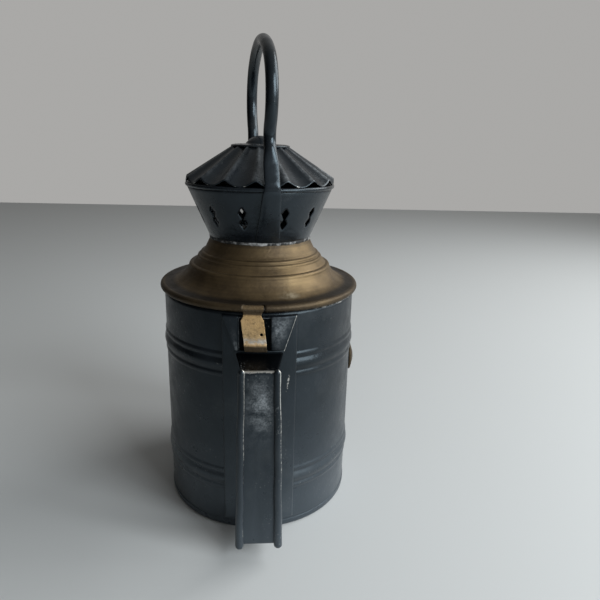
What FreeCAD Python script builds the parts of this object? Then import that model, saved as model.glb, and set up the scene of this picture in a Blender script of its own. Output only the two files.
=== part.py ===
import FreeCAD
import Part
import math
import os

# Hand signal lantern for a candle: a beaded sheet body with a hand grip on the back and a lens on
# the front, under a hinged brass hood that carries a vented collar, a fluted cap and a fixed bail.
# Millimetres. The body's axis is Z, the base stands on z = 0, the lens looks along +Y and the grip
# is on the -Y side.

# Body can
body_r = 62.6               # outer radius of the wall
body_sheet = 0.8
body_h = 146.0              # top edge of the wall
base_flange_wall = 1.3      # base pan's upturned seam
base_flange_h = 5.0
bead_low_z = 35.0           # middle of the lower swaged bead
bead_high_drop = 33.0       # middle of the upper one, below the top edge
bead_h = 1.3                # height of a bead's broad middle ridge
bead_half = 4.0             # half its width
bead_side_h = 0.7           # height of the narrow ridges beside it
bead_side_half = 1.7
bead_side_gap = 0.4         # flat between a narrow ridge and the broad one

# Back plate, a shallow tray soldered over the beads
plate_w = 44.5
plate_low = 2.0             # its lower edge above the base seam
plate_drop = 1.5            # its upper edge below the body's
plate_sheet = 0.8
plate_gap = 0.3             # between the beads and the plate

# Hand grip, one bent strip with rolled edges
grip_sheet = 1.2
grip_reach = 26.0           # from the plate to the strip's outer face
grip_low = 5.0              # bottom leg above the plate's lower edge
grip_flap_h = 21.9          # from the top leg to the plate's upper edge
grip_bend = 2.0             # outer bend radius
grip_web_top = 18.9         # width between the rolls' centre lines
grip_web_low = 22.6
grip_roll_top = 1.9         # radius of the rolled edge, top and bottom
grip_roll_low = 2.5
grip_roll_out = 0.3         # rolls' centre line outside the middle of the sheet
grip_leg_w = 30.5           # top leg where it meets the plate
grip_flap_w = 43.3          # flaps at their top
grip_flap_sheet = 1.1
grip_slot_w = 18.9          # slot between the flaps
grip_slot_x = -2.9
grip_slot_up = 1.6          # foot of the slot above the top leg
grip_foot_h = 14.0          # foot of the bottom leg, bent up on the plate

# Hood
hood_sheet = 0.8
hood_lean = 0.62            # inward part of the sheet's thickness for each part downward
hood_gap = 0.3              # between the rim roll and the body's top edge
hood_over = 2.4             # rim beyond the body's wall
hood_roll = 2.2             # radius of the rolled rim
rim_wire_r = 1.3
hood_h = 29.7               # from the rim's middle to the collar's seat
hood_hole_step = 1.4        # hole's edge inside the collar's foot
hood_ledge = 1.2            # seat outside the collar's foot
hood_neck_spread = 3.3
hood_neck_h = 6.8
hood_cone_spread = 7.9      # ridged cone below the neck
hood_cone_h = 8.8
hood_ridge_h = 0.55
hood_ridge_half = 1.15
hood_ridge_at = (0.28, 0.53)  # places of the two ridges along the ridged cone
hood_step_spread = 2.7      # third ridge, where the flare starts
hood_step_h = 2.2
hood_flare_sag = 2.4        # hollow of the flare below its chord
hood_flare_dip = 0.15       # end of the flare below the roll's top
skirt_gap = 2.2             # between the locating ring and the body's wall
skirt_sheet = 0.7
skirt_depth = 5.0           # locating ring below the body's top edge

# Collar
collar_sheet = 0.7
collar_r = 31.2             # outer radius at its foot
collar_h = 34.0
collar_flare = 14.7         # spread of the wall up to the wired rim's middle
collar_wire_r = 1.35
vent_count = 6              # on each side, between the bail's straps
vent_first = 13.0           # degrees from a strap
vent_step = 28.8
vent_w = 4.5                # one diamond of a double-diamond vent
vent_h = 14.4               # both diamonds
vent_neck_w = 1.2
vent_up = 16.8              # middle of a vent above the collar's foot
solder_h = 2.4
solder_over = 0.5           # bulge of the solder beyond the hood's neck
solder_bulge_at = 0.4       # height of the bulge as a share of the solder's

# Fluted cap
cap_over = 1.0              # rim outside the middle of the collar's wired rim
cap_sink = 0.5              # bite of the flutes' valleys into the wired rim
cap_sheet = 0.7             # measured upright
cap_flutes = 16
cap_points = 8              # points of the edge's curve in one flute
cap_wave = 2.05             # half the flutes' height at the rim
cap_top_r = 16.5            # hole that the crown plugs
cap_h = 20.8                # from the rim's middle line to the crown's seat
crown_over = 2.0
crown_sheet = 0.8
crown_dome_r = 10.3
crown_dome_h = 5.0

# Bail, a rod loop whose ends are flattened into straps
bail_turn = 8.0             # turn of its plane from -Y towards +X
bail_rod_r = 3.65
bail_half_w = 43.5          # centre line at its widest
bail_wide_up = 50.8         # that place above the collar's rim
bail_side_r = 27.0          # bend at the sides
bail_meet = 56.25           # degrees above level where the top bend takes over
bail_tuck = 35.0            # degrees that the sides curl under
bail_foot_r = 12.0          # reverse bend above the straps
bail_splay = 31.0           # degrees that the straps lean out
strap_start = 0.98          # strap's first section as a share of the rod's
strap_round = (0.96, 0.6, 0.3)  # rounding of the three sections, as shares of half their thickness
strap_flat_at = 0.4         # share of the way to the rim where the rod is flat
strap_flat_sheet = 3.4
strap_w = 8.8               # at the collar's rim
strap_foot_w = 14.5         # at the collar's foot
strap_sheet = 1.7

# Latch tongue on the rim wire
latch_turn = -3.6           # from -Y towards +X
latch_sheet = 0.85
latch_knuckle_w = 12.4
latch_notch_w = 13.2
latch_pin_r = 0.9
latch_pin_in = 1.5          # pin's ends let into the ends of the rim wire
latch_notch_room = 1.0      # round the knuckle
latch_neck_w = 10.0
latch_w = 14.6
latch_neck_drop = 3.4       # foot of the neck below the wire
latch_h = 23.9              # lower end below the wire
latch_lean = 2.2            # sideways set of the lower end
latch_gap = 0.9             # between the tongue and the back plate
latch_lip = 1.8             # outward step of the lower lip
latch_lip_h = 3.0
latch_hole_r = 0.9
latch_hole_edge = 1.9       # hole's middle to the tongue's side

# Lid hinge at the front
hinge_pin_r = 1.4
hinge_head = 1.0            # thickness of the pin's heads
hinge_barrel_r = 2.7
hinge_gap = 0.5             # between the barrel and the rim
hinge_w = 24.0
hinge_knuckle_w = 9.6       # the lid's knuckle
hinge_knuckle_gap = 0.3
hinge_leaf_sheet = 1.2
hinge_leaf_low = 22.0       # body leaf's lower edge below the wall's top
hinge_leaf_jog = 10.0       # where it leaves the wall
hinge_leaf_neck = 5.0       # where it turns up to the barrel
hinge_lid_leaf = 10.0       # length of the lid's leaf on the flare
rivet_r = 1.9
rivet_x = 8.0

# Lens, midway between the beads
bezel_r = 29.5
bezel_bore_r = 23.5
bezel_stand = 8.4           # outside the wall
lens_r = 26.0
lens_stand = 2.4            # lens seat outside the wall
lens_edge = 3.0
lens_dome = 8.0
lens_ring_wall = 2.2

# Signal glass and its knob
running_fit = 0.05          # clearance round a turning shaft
shaft_r = 1.6
shaft_y = 12.0
shaft_up = 15.0             # above the lens's middle
shaft_end_gap = 0.4
bush_r = 3.4
bush_flange_r = 6.0
bush_stand = 1.2            # outside the wall
bush_inside = 5.3           # inside the wall
knob_gap = 0.3
knob_r = 10.5
knob_edge = 1.6
knob_dome = 2.8
knob_socket = 2.4
bearing_r = 4.0
bearing_stand = 7.3         # far bearing's face inside the wall
bearing_depth = 3.5
frame_r = 18.0
frame_wall = 2.8
frame_thick = 3.0
frame_drop = 18.5           # from the shaft to the glass's middle
frame_hub_r = 3.2
frame_hub_w = 12.0
glass_thick = 1.8

# Candle and reflector
candle_y = -8.0
candle_r = 10.0
candle_h = 58.4
candle_shoulder = 1.5
tray_r = 36.0
tray_rim_h = 5.0
tray_sheet = 0.8
socket_wall = 1.2
socket_h = 26.0
socket_flange_r = 16.0
wick_r = 0.8
wick_h = 7.0
wick_sunk = 4.0
reflector_r = 27.0
reflector_depth = 10.0
reflector_stand = 11.8      # back of the bowl inside the wall
reflector_sheet = 0.8
stud_r = 4.0

# Places that follow from the sizes above
up = FreeCAD.Vector(0, 0, 1)
origin = FreeCAD.Vector(0, 0, 0)
far = 1000.0                # beyond every piece
body_in_r = body_r - body_sheet
base_r = body_r + base_flange_wall
bead_high_z = body_h - bead_high_drop
bead_side_step = bead_half + bead_side_gap + bead_side_half
plate_in_r = body_r + bead_h + plate_gap
plate_r = plate_in_r + plate_sheet
plate_z0 = base_flange_h + plate_low
plate_z1 = body_h - plate_drop
grip_y = -(plate_r + grip_reach)
grip_z0 = plate_z0 + grip_low
grip_z1 = plate_z1 - grip_flap_h
hood_r = body_r + hood_over
roll_r = hood_r - hood_roll
roll_z = body_h + hood_gap + hood_roll
hood_top = roll_z + hood_h
hood_hole_r = collar_r - hood_hole_step
hood_neck_r = collar_r + hood_ledge
hood_end_z = roll_z + hood_roll - hood_flare_dip
skirt_r = body_in_r - skirt_gap
skirt_z0 = body_h - skirt_depth
collar_bead_r = collar_r + collar_flare
collar_rim_r = collar_bead_r + collar_wire_r
collar_rim_z = hood_top + collar_h
solder_top = hood_top + solder_h
cap_r = collar_bead_r + cap_over
cap_rim_z = collar_rim_z + collar_wire_r + cap_wave - cap_sink
cap_top_z = cap_rim_z + cap_h
cap_crest_at = bail_turn + 180 / cap_flutes  # a valley lies behind each strap
crown_r = cap_top_r + crown_over
latch_axis_y = -math.sqrt(roll_r ** 2 - (latch_notch_w / 2) ** 2)
latch_bore = latch_pin_r + running_fit
latch_curl = latch_bore + latch_sheet
hinge_y = hood_r + hinge_gap + hinge_barrel_r
hinge_leaf_z0 = body_h - hinge_leaf_low
hinge_jog_z = body_h - hinge_leaf_jog
hinge_neck_z = body_h - hinge_leaf_neck
lens_z = (bead_low_z + bead_high_z) / 2
lens_seat_y = body_r + lens_stand
lens_face_y = lens_seat_y + lens_edge
bezel_y = body_r + bezel_stand
shaft_z = lens_z + shaft_up
bush_x = body_r + bush_stand
knob_x = bush_x + knob_gap
bearing_x = -(body_in_r - bearing_stand)
glass_z = shaft_z - frame_drop
candle_z = body_sheet + tray_sheet
candle_top = candle_z + candle_h
reflector_y = -(body_in_r - reflector_stand)


def point(r, z):
    return FreeCAD.Vector(r, 0, z)


def line(a, b):
    return Part.LineSegment(a, b).toShape()


def arc(a, middle, b):
    return Part.Arc(a, middle, b).toShape()


def polygon(points):
    return Part.Face(Part.makePolygon(list(points) + [points[0]]))


def revolve(edges):
    return Part.Face(Part.Wire(edges)).revolve(origin, up, 360)


def revolve_points(points):
    return polygon([point(r, z) for r, z in points]).revolve(origin, up, 360)


def turned(shape, angle):
    return shape.rotated(origin, up, angle)


def disc(r, z0, z1):
    return Part.makeCylinder(r, z1 - z0, FreeCAD.Vector(0, 0, z0))


def rod_x(r, x0, x1, y, z):
    return Part.makeCylinder(r, x1 - x0, FreeCAD.Vector(x0, y, z), FreeCAD.Vector(1, 0, 0))


def rod_y(r, y0, y1, z):
    return Part.makeCylinder(r, y1 - y0, FreeCAD.Vector(0, y0, z), FreeCAD.Vector(0, 1, 0))


def box(x0, x1, y0, y1, z0, z1):
    return Part.makeBox(x1 - x0, y1 - y0, z1 - z0, FreeCAD.Vector(x0, y0, z0))


# The radius of the ball whose cap has the given radius and height.
def cap_ball_r(r, height):
    return (r ** 2 + height ** 2) / (2 * height)


# A sector of a cylinder, centred on the -Y side.
def sector(r, z0, z1, half_angle):
    piece = Part.makeCylinder(r, z1 - z0, FreeCAD.Vector(0, 0, z0), up, 2 * half_angle)
    return turned(piece, -90 - half_angle)


# A flat outline in X and Z, carried along Y.
def prism_xz(points, y0, y1):
    face = polygon([FreeCAD.Vector(x, y0, z) for x, z in points])
    return face.extrude(FreeCAD.Vector(0, y1 - y0, 0))


# A flat outline in Y and Z, carried along X over a width centred on x = 0.
def prism_yz(points, width):
    face = polygon([FreeCAD.Vector(-width / 2, y, z) for y, z in points])
    return face.extrude(FreeCAD.Vector(width, 0, 0))


def angle_of(half_width, r):
    return math.degrees(math.asin(half_width / r))


# The wall's line from bottom to top at a given radius, with each bead as three round ridges.
def wall_edges(r, z0, z1):
    ridges = []
    for middle in (bead_low_z, bead_high_z):
        ridges.append((middle - bead_side_step, bead_side_half, bead_side_h))
        ridges.append((middle, bead_half, bead_h))
        ridges.append((middle + bead_side_step, bead_side_half, bead_side_h))
    edges = []
    here = z0
    for middle, half, height in ridges:
        edges.append(line(point(r, here), point(r, middle - half)))
        edges.append(arc(point(r, middle - half), point(r + height, middle), point(r, middle + half)))
        here = middle + half
    edges.append(line(point(r, here), point(r, z1)))
    return edges


# Everything inside the body's outer surface.
def body_envelope():
    edges = wall_edges(body_r, 0, body_h)
    edges.append(line(point(body_r, body_h), point(0, body_h)))
    edges.append(line(point(0, body_h), point(0, 0)))
    edges.append(line(point(0, 0), point(body_r, 0)))
    return revolve(edges)


def make_body_shell():
    outer = wall_edges(body_r, body_sheet, body_h)
    inner = wall_edges(body_in_r, body_sheet, body_h)
    ends = [line(point(body_in_r, z), point(body_r, z)) for z in (body_sheet, body_h)]
    shell = revolve(Part.__sortEdges__(outer + inner + ends))
    lens_hole = rod_y(bezel_bore_r, 0, far, lens_z)
    bush_hole = rod_x(bush_r, 0, far, shaft_y, shaft_z)
    return shell.cut([lens_hole, bush_hole])


def make_base_pan():
    pan = disc(base_r, 0, base_flange_h)
    return pan.cut(disc(body_r, body_sheet, base_flange_h))


def make_back_plate(envelope):
    half = angle_of(plate_w / 2, plate_r)
    side = angle_of(plate_sheet, plate_r)
    tray = sector(plate_r, plate_z0, plate_z1, half)
    hollow = sector(plate_in_r, plate_z0 + plate_sheet, plate_z1 - plate_sheet, half - side)
    return tray.cut([hollow, envelope])


# One face of the strip in side view, from its foot to its top leg, with rounded corners.
def grip_run(y, z0, z1, r):
    lean = r * math.sqrt(0.5)

    def corner(z, sign):
        middle = FreeCAD.Vector(0, y + r, z + sign * r)
        tip = middle + FreeCAD.Vector(0, -lean, -sign * lean)
        return FreeCAD.Vector(0, y + r, z), tip, FreeCAD.Vector(0, y, z + sign * r)

    low = corner(z0, 1)
    high = corner(z1, -1)
    start = FreeCAD.Vector(0, -body_r, z0)
    end = FreeCAD.Vector(0, -body_r, z1)
    edges = [line(start, low[0]), arc(*low), line(low[2], high[2])]
    return edges + [arc(high[2], high[1], high[0]), line(high[0], end)]


# The strip's side view: out of the plate, down the back of the hand and in again.
def grip_strip_face():
    outer = grip_run(grip_y, grip_z0, grip_z1, grip_bend)
    inner = grip_run(grip_y + grip_sheet, grip_z0 + grip_sheet, grip_z1 - grip_sheet,
                     grip_bend - grip_sheet)
    ends = []
    for z, step in ((grip_z0, grip_sheet), (grip_z1, -grip_sheet)):
        start = FreeCAD.Vector(0, -body_r, z)
        ends.append(line(start, start + FreeCAD.Vector(0, 0, step)))
    return Part.Face(Part.Wire(Part.__sortEdges__(outer + inner + ends)))


def make_grip_strip(plate_core):
    top = grip_web_top / 2
    low = grip_web_low / 2
    strip = grip_strip_face().extrude(FreeCAD.Vector(far, 0, 0))
    strip.translate(FreeCAD.Vector(-far / 2, 0, 0))
    outline = [(-low, grip_z0), (low, grip_z0), (top, grip_z1), (-top, grip_z1)]
    return strip.common(prism_xz(outline, -far, 0)).cut(plate_core)


# The top leg widens to the flaps, which lie on the plate either side of the latch slot.
def make_grip_flaps(plate_core):
    top = grip_web_top / 2
    wide = grip_leg_w / 2
    leg_y = grip_y + grip_bend
    leg_z = grip_z1 - grip_sheet
    leg = [(-top, leg_y), (top, leg_y), (wide, -plate_r), (wide, -body_r)]
    leg += [(-wide, -body_r), (-wide, -plate_r)]
    leg_face = polygon([FreeCAD.Vector(x, y, leg_z) for x, y in leg])
    leg_plate = leg_face.extrude(FreeCAD.Vector(0, 0, grip_sheet)).cut(plate_core)
    flap = disc(plate_r + grip_flap_sheet, leg_z, plate_z1).cut(plate_core)
    outline = [(-wide, leg_z), (wide, leg_z), (grip_flap_w / 2, plate_z1), (-grip_flap_w / 2, plate_z1)]
    flap = flap.common(prism_xz(outline, -far, 0))
    slot_x0 = grip_slot_x - grip_slot_w / 2
    slot_x1 = grip_slot_x + grip_slot_w / 2
    slot = box(slot_x0, slot_x1, -far, 0, grip_z1 + grip_slot_up, far)
    return [leg_plate, flap.cut(slot)]


# Rolled edges run along the grip only and taper a little towards the top.
def make_grip_rolls():
    rolls = []
    y = grip_y + grip_sheet / 2 - grip_roll_out
    for side in (-1, 1):
        foot = FreeCAD.Vector(side * grip_web_low / 2, y, grip_z0)
        top = FreeCAD.Vector(side * grip_web_top / 2, y, grip_z1)
        along = top - foot
        rolls.append(Part.makeCone(grip_roll_low, grip_roll_top, along.Length, foot, along))
        rolls.append(Part.makeSphere(grip_roll_low, foot))
        rolls.append(Part.makeSphere(grip_roll_top, top))
    return rolls


def make_grip_handle():
    plate_core = disc(plate_r, 0, body_h)
    low = grip_web_low / 2
    foot_top = grip_z0 + grip_foot_h
    foot = disc(plate_r + grip_sheet, grip_z0, foot_top).cut(plate_core)
    foot = foot.common(box(-low, low, -far, 0, grip_z0, foot_top))
    pieces = [foot] + make_grip_flaps(plate_core) + make_grip_rolls()
    return make_grip_strip(plate_core).fuse(pieces).removeSplitter()


# The hood's outer line from the collar's hole down to the rim roll, with its two ends.
def hood_line(dr, dz):
    start = point(hood_hole_r + dr, hood_top + dz)
    neck = point(hood_neck_r + dr, hood_top + dz)
    foot = neck + point(hood_neck_spread, -hood_neck_h)
    waist = foot + point(hood_cone_spread, -hood_cone_h)
    step = waist + point(hood_step_spread, -hood_step_h)
    rim = point(roll_r + dr, hood_end_z + dz)
    slope = waist - foot
    along = FreeCAD.Vector(slope).normalize()
    out = point(-along.z, along.x)
    edges = [line(start, neck), line(neck, foot)]
    here = foot
    for share in hood_ridge_at:
        middle = foot + slope * share
        before = middle - along * hood_ridge_half
        after = middle + along * hood_ridge_half
        edges.append(line(here, before))
        edges.append(arc(before, middle + out * hood_ridge_h, after))
        here = after
    edges.append(line(here, waist))
    crest = (waist + step) / 2 + point(hood_ridge_h, hood_ridge_h)
    edges.append(arc(waist, crest, step))
    chord = rim - step
    across = point(chord.z, -chord.x).normalize()
    edges.append(arc(step, (step + rim) / 2 + across * hood_flare_sag, rim))
    return edges, start, rim


# Everything under the hood's outer line, moved by the given amounts, down to a given level.
def under_hood(dr, dz, floor):
    edges, start, rim = hood_line(dr, dz)
    path = [rim, point(rim.x, floor), point(0, floor), point(0, start.z), start]
    for a, b in zip(path, path[1:]):
        edges.append(line(a, b))
    return revolve(edges)


def hood_inside(floor):
    return under_hood(-hood_sheet * hood_lean, -hood_sheet, floor)


def rim_roll(r):
    return Part.makeTorus(roll_r, r, FreeCAD.Vector(0, 0, roll_z))


def make_hood():
    outer, start, rim = hood_line(0, 0)
    inner, start_in, rim_in = hood_line(-hood_sheet * hood_lean, -hood_sheet)
    ends = [line(start, start_in), line(rim, rim_in)]
    sheet = revolve(Part.__sortEdges__(outer + inner + ends))
    hood = sheet.fuse(rim_roll(hood_roll)).cut(rim_roll(rim_wire_r))
    half = latch_notch_w / 2
    notch = rod_x(latch_curl + latch_notch_room, -half, half, latch_axis_y, roll_z)
    return hood.cut(turned(notch, latch_turn)).removeSplitter()


# A straight pin crosses the latch notch, where the rim wire is left out.
def make_latch_pin():
    half = latch_notch_w / 2 + latch_pin_in
    return turned(rod_x(latch_pin_r, -half, half, latch_axis_y, roll_z), latch_turn)


def make_rim_wire():
    gap = angle_of(latch_notch_w / 2, roll_r)
    ring = Part.makeCircle(rim_wire_r, point(roll_r, roll_z), FreeCAD.Vector(0, 1, 0))
    wire = Part.Face(Part.Wire(ring)).revolve(origin, up, 360 - 2 * gap)
    return turned(wire, gap - 90 + latch_turn).cut(make_latch_pin())


def make_hood_skirt():
    tube = disc(skirt_r, skirt_z0, hood_top).cut(disc(skirt_r - skirt_sheet, skirt_z0, hood_top))
    return tube.common(hood_inside(skirt_z0))


def collar_wall_r(z):
    return collar_r + collar_flare * (z - hood_top) / collar_h


def collar_bead():
    return Part.makeTorus(collar_bead_r, collar_wire_r, FreeCAD.Vector(0, 0, collar_rim_z))


def collar_envelope():
    cone = [(0, hood_top), (collar_r, hood_top), (collar_bead_r, collar_rim_z), (0, collar_rim_z)]
    return revolve_points(cone).fuse(collar_bead())


# A vent is two diamonds, one above the other, joined by a narrow neck.
def vent_cutter():
    half = vent_w / 2
    neck = vent_neck_w / 2
    tip = vent_h / 2
    outline = [(0, tip), (half, tip / 2), (neck, 0), (half, -tip / 2), (0, -tip)]
    outline += [(-half, -tip / 2), (-neck, 0), (-half, tip / 2)]
    cutter = prism_xz(outline, -2 * collar_wire_r, 2 * collar_wire_r)
    lean = math.degrees(math.atan2(collar_flare, collar_h))
    cutter.rotate(origin, FreeCAD.Vector(1, 0, 0), lean)
    z = hood_top + vent_up
    cutter.translate(FreeCAD.Vector(0, -collar_wall_r(z), z))
    return cutter


def make_collar():
    cone = [(collar_r, hood_top), (collar_bead_r, collar_rim_z)]
    cone += [(collar_bead_r - collar_sheet, collar_rim_z), (collar_r - collar_sheet, hood_top)]
    collar = revolve_points(cone).fuse(collar_bead())
    vents = []
    for strap in (bail_turn, bail_turn + 180):
        for index in range(vent_count):
            vents.append(turned(vent_cutter(), strap + vent_first + vent_step * index))
    return collar.cut(vents).removeSplitter()


def make_collar_solder():
    profile = [(collar_r, hood_top), (hood_neck_r, hood_top)]
    profile.append((hood_neck_r + solder_over, hood_top + solder_h * solder_bulge_at))
    profile.append((collar_wall_r(solder_top), solder_top))
    return revolve_points(profile)


# One turn of a fluted edge: a circle whose height swings up and down with the flutes.
def fluted_edge(r, z, wave):
    points = []
    steps = cap_flutes * cap_points
    for index in range(steps):
        angle = math.radians(360.0 * index / steps)
        swing = math.cos(cap_flutes * (angle - math.radians(cap_crest_at)))
        points.append(FreeCAD.Vector(r * math.sin(angle), -r * math.cos(angle), z + wave * swing))
    curve = Part.BSplineCurve()
    curve.interpolate(Points=points, PeriodicFlag=True)
    return curve.toShape()


# The fluted sheet runs straight from its wavy rim to the round hole that the crown plugs.
def make_fluted_cap():
    low = fluted_edge(cap_r, cap_rim_z, cap_wave)
    high = fluted_edge(cap_top_r, cap_top_z - cap_sheet, 0)
    cap = Part.makeRuledSurface(low, high).extrude(FreeCAD.Vector(0, 0, cap_sheet))
    return cap.cut(collar_bead())


def make_cap_crown():
    face = cap_top_z + crown_sheet
    ball_r = cap_ball_r(crown_dome_r, crown_dome_h)
    ball = Part.makeSphere(ball_r, FreeCAD.Vector(0, 0, face + crown_dome_h - ball_r))
    dome = ball.common(disc(crown_r, face, face + crown_dome_h * 2))
    plug = disc(cap_top_r, cap_top_z - cap_sheet, cap_top_z)
    return disc(crown_r, cap_top_z, face).fuse([plug, dome]).removeSplitter()


# A point of the bail's plane before it is turned: r towards the near leg, z up.
def bail_point(r, z):
    return FreeCAD.Vector(0, -r, z)


def around(centre, radius, degrees):
    angle = math.radians(degrees)
    return centre + bail_point(radius * math.cos(angle), radius * math.sin(angle))


def bail_arc(centre, radius, start, end):
    middle = around(centre, radius, (start + end) / 2)
    return arc(around(centre, radius, start), middle, around(centre, radius, end))


# Half of the rod's centre line from the top down, as three tangent arcs, and its lower end.
def bail_arcs():
    offset = bail_half_w - bail_side_r
    top_r = bail_side_r + offset / math.cos(math.radians(bail_meet))
    side_centre = bail_point(offset, collar_rim_z + bail_wide_up)
    top_centre = around(side_centre, bail_side_r - top_r, bail_meet)
    foot_centre = around(side_centre, bail_side_r + bail_foot_r, -bail_tuck)
    foot_end = 180 + bail_splay
    arcs = [bail_arc(top_centre, top_r, 90, bail_meet)]
    arcs.append(bail_arc(side_centre, bail_side_r, bail_meet, -bail_tuck))
    arcs.append(bail_arc(foot_centre, bail_foot_r, 180 - bail_tuck, foot_end))
    return arcs, around(foot_centre, bail_foot_r, foot_end)


# A rounded rectangle across a given direction of the bail's plane.
def strap_section(centre, degrees, width, thick, rounding):
    angle = math.radians(degrees)
    across = bail_point(math.cos(angle), math.sin(angle))
    side = FreeCAD.Vector(1, 0, 0)
    half_w = width / 2
    half_t = thick / 2
    corner = half_t * rounding
    round_off = corner * (1 - math.sqrt(0.5))

    def at(a, b):
        return centre + side * a + across * b

    edges = []
    for sa, sb in ((1, 1), (-1, 1), (-1, -1), (1, -1)):
        in_w = at(sa * (half_w - corner), sb * half_t)
        in_t = at(sa * half_w, sb * (half_t - corner))
        edges.append(arc(in_t, at(sa * (half_w - round_off), sb * (half_t - round_off)), in_w))
        if sa == sb:
            edges.append(line(in_w, at(-sa * (half_w - corner), sb * half_t)))
        else:
            edges.append(line(in_t, at(sa * half_w, -sb * (half_t - corner))))
    return Part.Wire(Part.__sortEdges__(edges))


# The strap leaves the rod round and flattens on its way to the collar's rim.
def make_strap(foot, rim_z):
    rim = bail_point(collar_rim_r + strap_sheet / 2, rim_z)
    flat = foot + (rim - foot) * strap_flat_at
    rod = 2 * bail_rod_r * strap_start
    sections = [strap_section(foot, bail_splay, rod, rod, strap_round[0])]
    sections.append(strap_section(flat, bail_splay, strap_w, strap_flat_sheet, strap_round[1]))
    sections.append(strap_section(rim, 0, strap_w, strap_sheet, strap_round[2]))
    return Part.makeLoft(sections, True, True)


# Below the rim the strap widens and lies on the collar's wall down to the solder.
def make_strap_band(rim_z):
    wall_r = collar_wall_r(solder_top)
    outer_r = collar_rim_r + strap_sheet
    wrap = [(wall_r - strap_sheet, solder_top), (wall_r + strap_sheet, solder_top)]
    wrap += [(outer_r, collar_rim_z - 2 * collar_wire_r), (outer_r, rim_z), (collar_rim_r, rim_z)]
    wrap += [(collar_rim_r, collar_rim_z), (collar_bead_r - strap_sheet, collar_rim_z - strap_sheet)]
    half = strap_w / 2
    foot = strap_foot_w / 2
    outline = [(-foot, solder_top), (foot, solder_top), (half, collar_rim_z), (half, rim_z)]
    outline += [(-half, rim_z), (-half, collar_rim_z)]
    return revolve_points(wrap).common(prism_xz(outline, -far, 0)).cut(collar_envelope())


def make_bail():
    near, foot = bail_arcs()
    path = Part.Wire(Part.__sortEdges__(near + [turned(edge, 180) for edge in near]))
    start = path.OrderedVertexes[0].Point
    heading = path.OrderedEdges[0].tangentAt(path.OrderedEdges[0].FirstParameter)
    ring = Part.Wire(Part.makeCircle(bail_rod_r, start, heading))
    rod = path.makePipeShell([ring], True, True)
    rim_z = collar_rim_z + 2 * collar_wire_r
    leg = make_strap(foot, rim_z).fuse(make_strap_band(rim_z))
    return turned(rod.fuse([leg, turned(leg, 180)]), bail_turn).removeSplitter()


def make_latch_tongue():
    half = latch_knuckle_w / 2
    knuckle = rod_x(latch_curl, -half, half, latch_axis_y, roll_z)
    inner_y = -(plate_r + latch_gap)
    outer_y = inner_y - latch_sheet
    neck_in = latch_axis_y - latch_bore
    neck_out = latch_axis_y - latch_curl
    neck_z = roll_z - latch_neck_drop
    low_z = roll_z - latch_h
    lip_z = low_z + latch_lip_h
    step_z = lip_z + latch_lip
    curl_z = roll_z - latch_curl
    view = [(neck_in, roll_z), (neck_out, roll_z), (neck_out, curl_z), (outer_y, neck_z)]
    view += [(outer_y, step_z), (outer_y - latch_lip, lip_z), (outer_y - latch_lip, low_z)]
    view += [(inner_y - latch_lip, low_z), (inner_y - latch_lip, lip_z), (inner_y, step_z)]
    view += [(inner_y, neck_z), (neck_in, curl_z)]
    neck = latch_neck_w / 2
    wide = latch_w / 2
    shoulder = neck_z - (wide - neck)
    outline = [(-neck, roll_z + latch_curl), (neck, roll_z + latch_curl), (neck, neck_z)]
    outline += [(wide, shoulder), (wide + latch_lean, low_z), (-wide + latch_lean, low_z)]
    outline += [(-wide, shoulder), (-neck, neck_z)]
    blade = prism_yz(view, far).common(prism_xz(outline, -far, 0))
    bore = rod_x(latch_bore, -far, far, latch_axis_y, roll_z)
    hole = rod_y(latch_hole_r, -far, 0, (lip_z + shoulder) / 2)
    hole.translate(FreeCAD.Vector(wide - latch_hole_edge, 0, 0))
    return turned(knuckle.fuse(blade).cut([bore, hole]), latch_turn).removeSplitter()


def hinge_rod(r, x0, x1):
    return rod_x(r, x0, x1, hinge_y, roll_z)


def make_body_hinge_leaf(envelope):
    half = hinge_w / 2
    gap = hinge_knuckle_w / 2 + hinge_knuckle_gap
    thick = hinge_leaf_sheet
    neck_y = hinge_y - thick / 2
    low_z = hinge_jog_z - thick
    bend = [(0, low_z), (body_r + thick, low_z), (neck_y + thick, hinge_neck_z)]
    bend += [(neck_y + thick, roll_z), (neck_y, roll_z), (neck_y, hinge_neck_z)]
    bend += [(body_r, hinge_jog_z), (0, hinge_jog_z)]
    neck = prism_yz(bend, hinge_w).cut([envelope, box(-gap, gap, 0, far, hinge_neck_z, far)])
    patch = disc(body_r + thick, hinge_leaf_z0, hinge_jog_z).cut(envelope)
    patch = patch.common(box(-half, half, 0, far, 0, far))
    barrels = [hinge_rod(hinge_barrel_r, -half, -gap), hinge_rod(hinge_barrel_r, gap, half)]
    leaf = patch.fuse([neck] + barrels).cut(hinge_rod(hinge_pin_r, -far, far))
    return leaf.removeSplitter()


# The lid's leaf lies on the flare, crosses the rolled rim and ends in the middle knuckle.
def make_lid_hinge_leaf():
    half = hinge_knuckle_w / 2
    thick = hinge_leaf_sheet
    rim_top = roll_z + hood_roll + thick
    solid_hood = under_hood(0, 0, body_h).fuse(rim_roll(hood_roll))
    cover = under_hood(thick * hood_lean, thick, body_h)
    leaf = cover.common(box(-half, half, roll_r - hinge_lid_leaf, far, roll_z, far))
    bridge = [(roll_r, roll_z), (hinge_y, roll_z), (hinge_y, roll_z + hinge_barrel_r), (roll_r, rim_top)]
    pieces = [prism_yz(bridge, hinge_knuckle_w), hinge_rod(hinge_barrel_r, -half, half)]
    bore = hinge_rod(hinge_pin_r + running_fit, -far, far)
    return leaf.fuse(pieces).cut([solid_hood, bore]).removeSplitter()


def make_hinge_pin():
    half = hinge_w / 2
    head_r = (hinge_pin_r + hinge_barrel_r) / 2
    heads = [hinge_rod(head_r, -half - hinge_head, -half), hinge_rod(head_r, half, half + hinge_head)]
    return hinge_rod(hinge_pin_r, -half, half).fuse(heads).removeSplitter()


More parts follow.
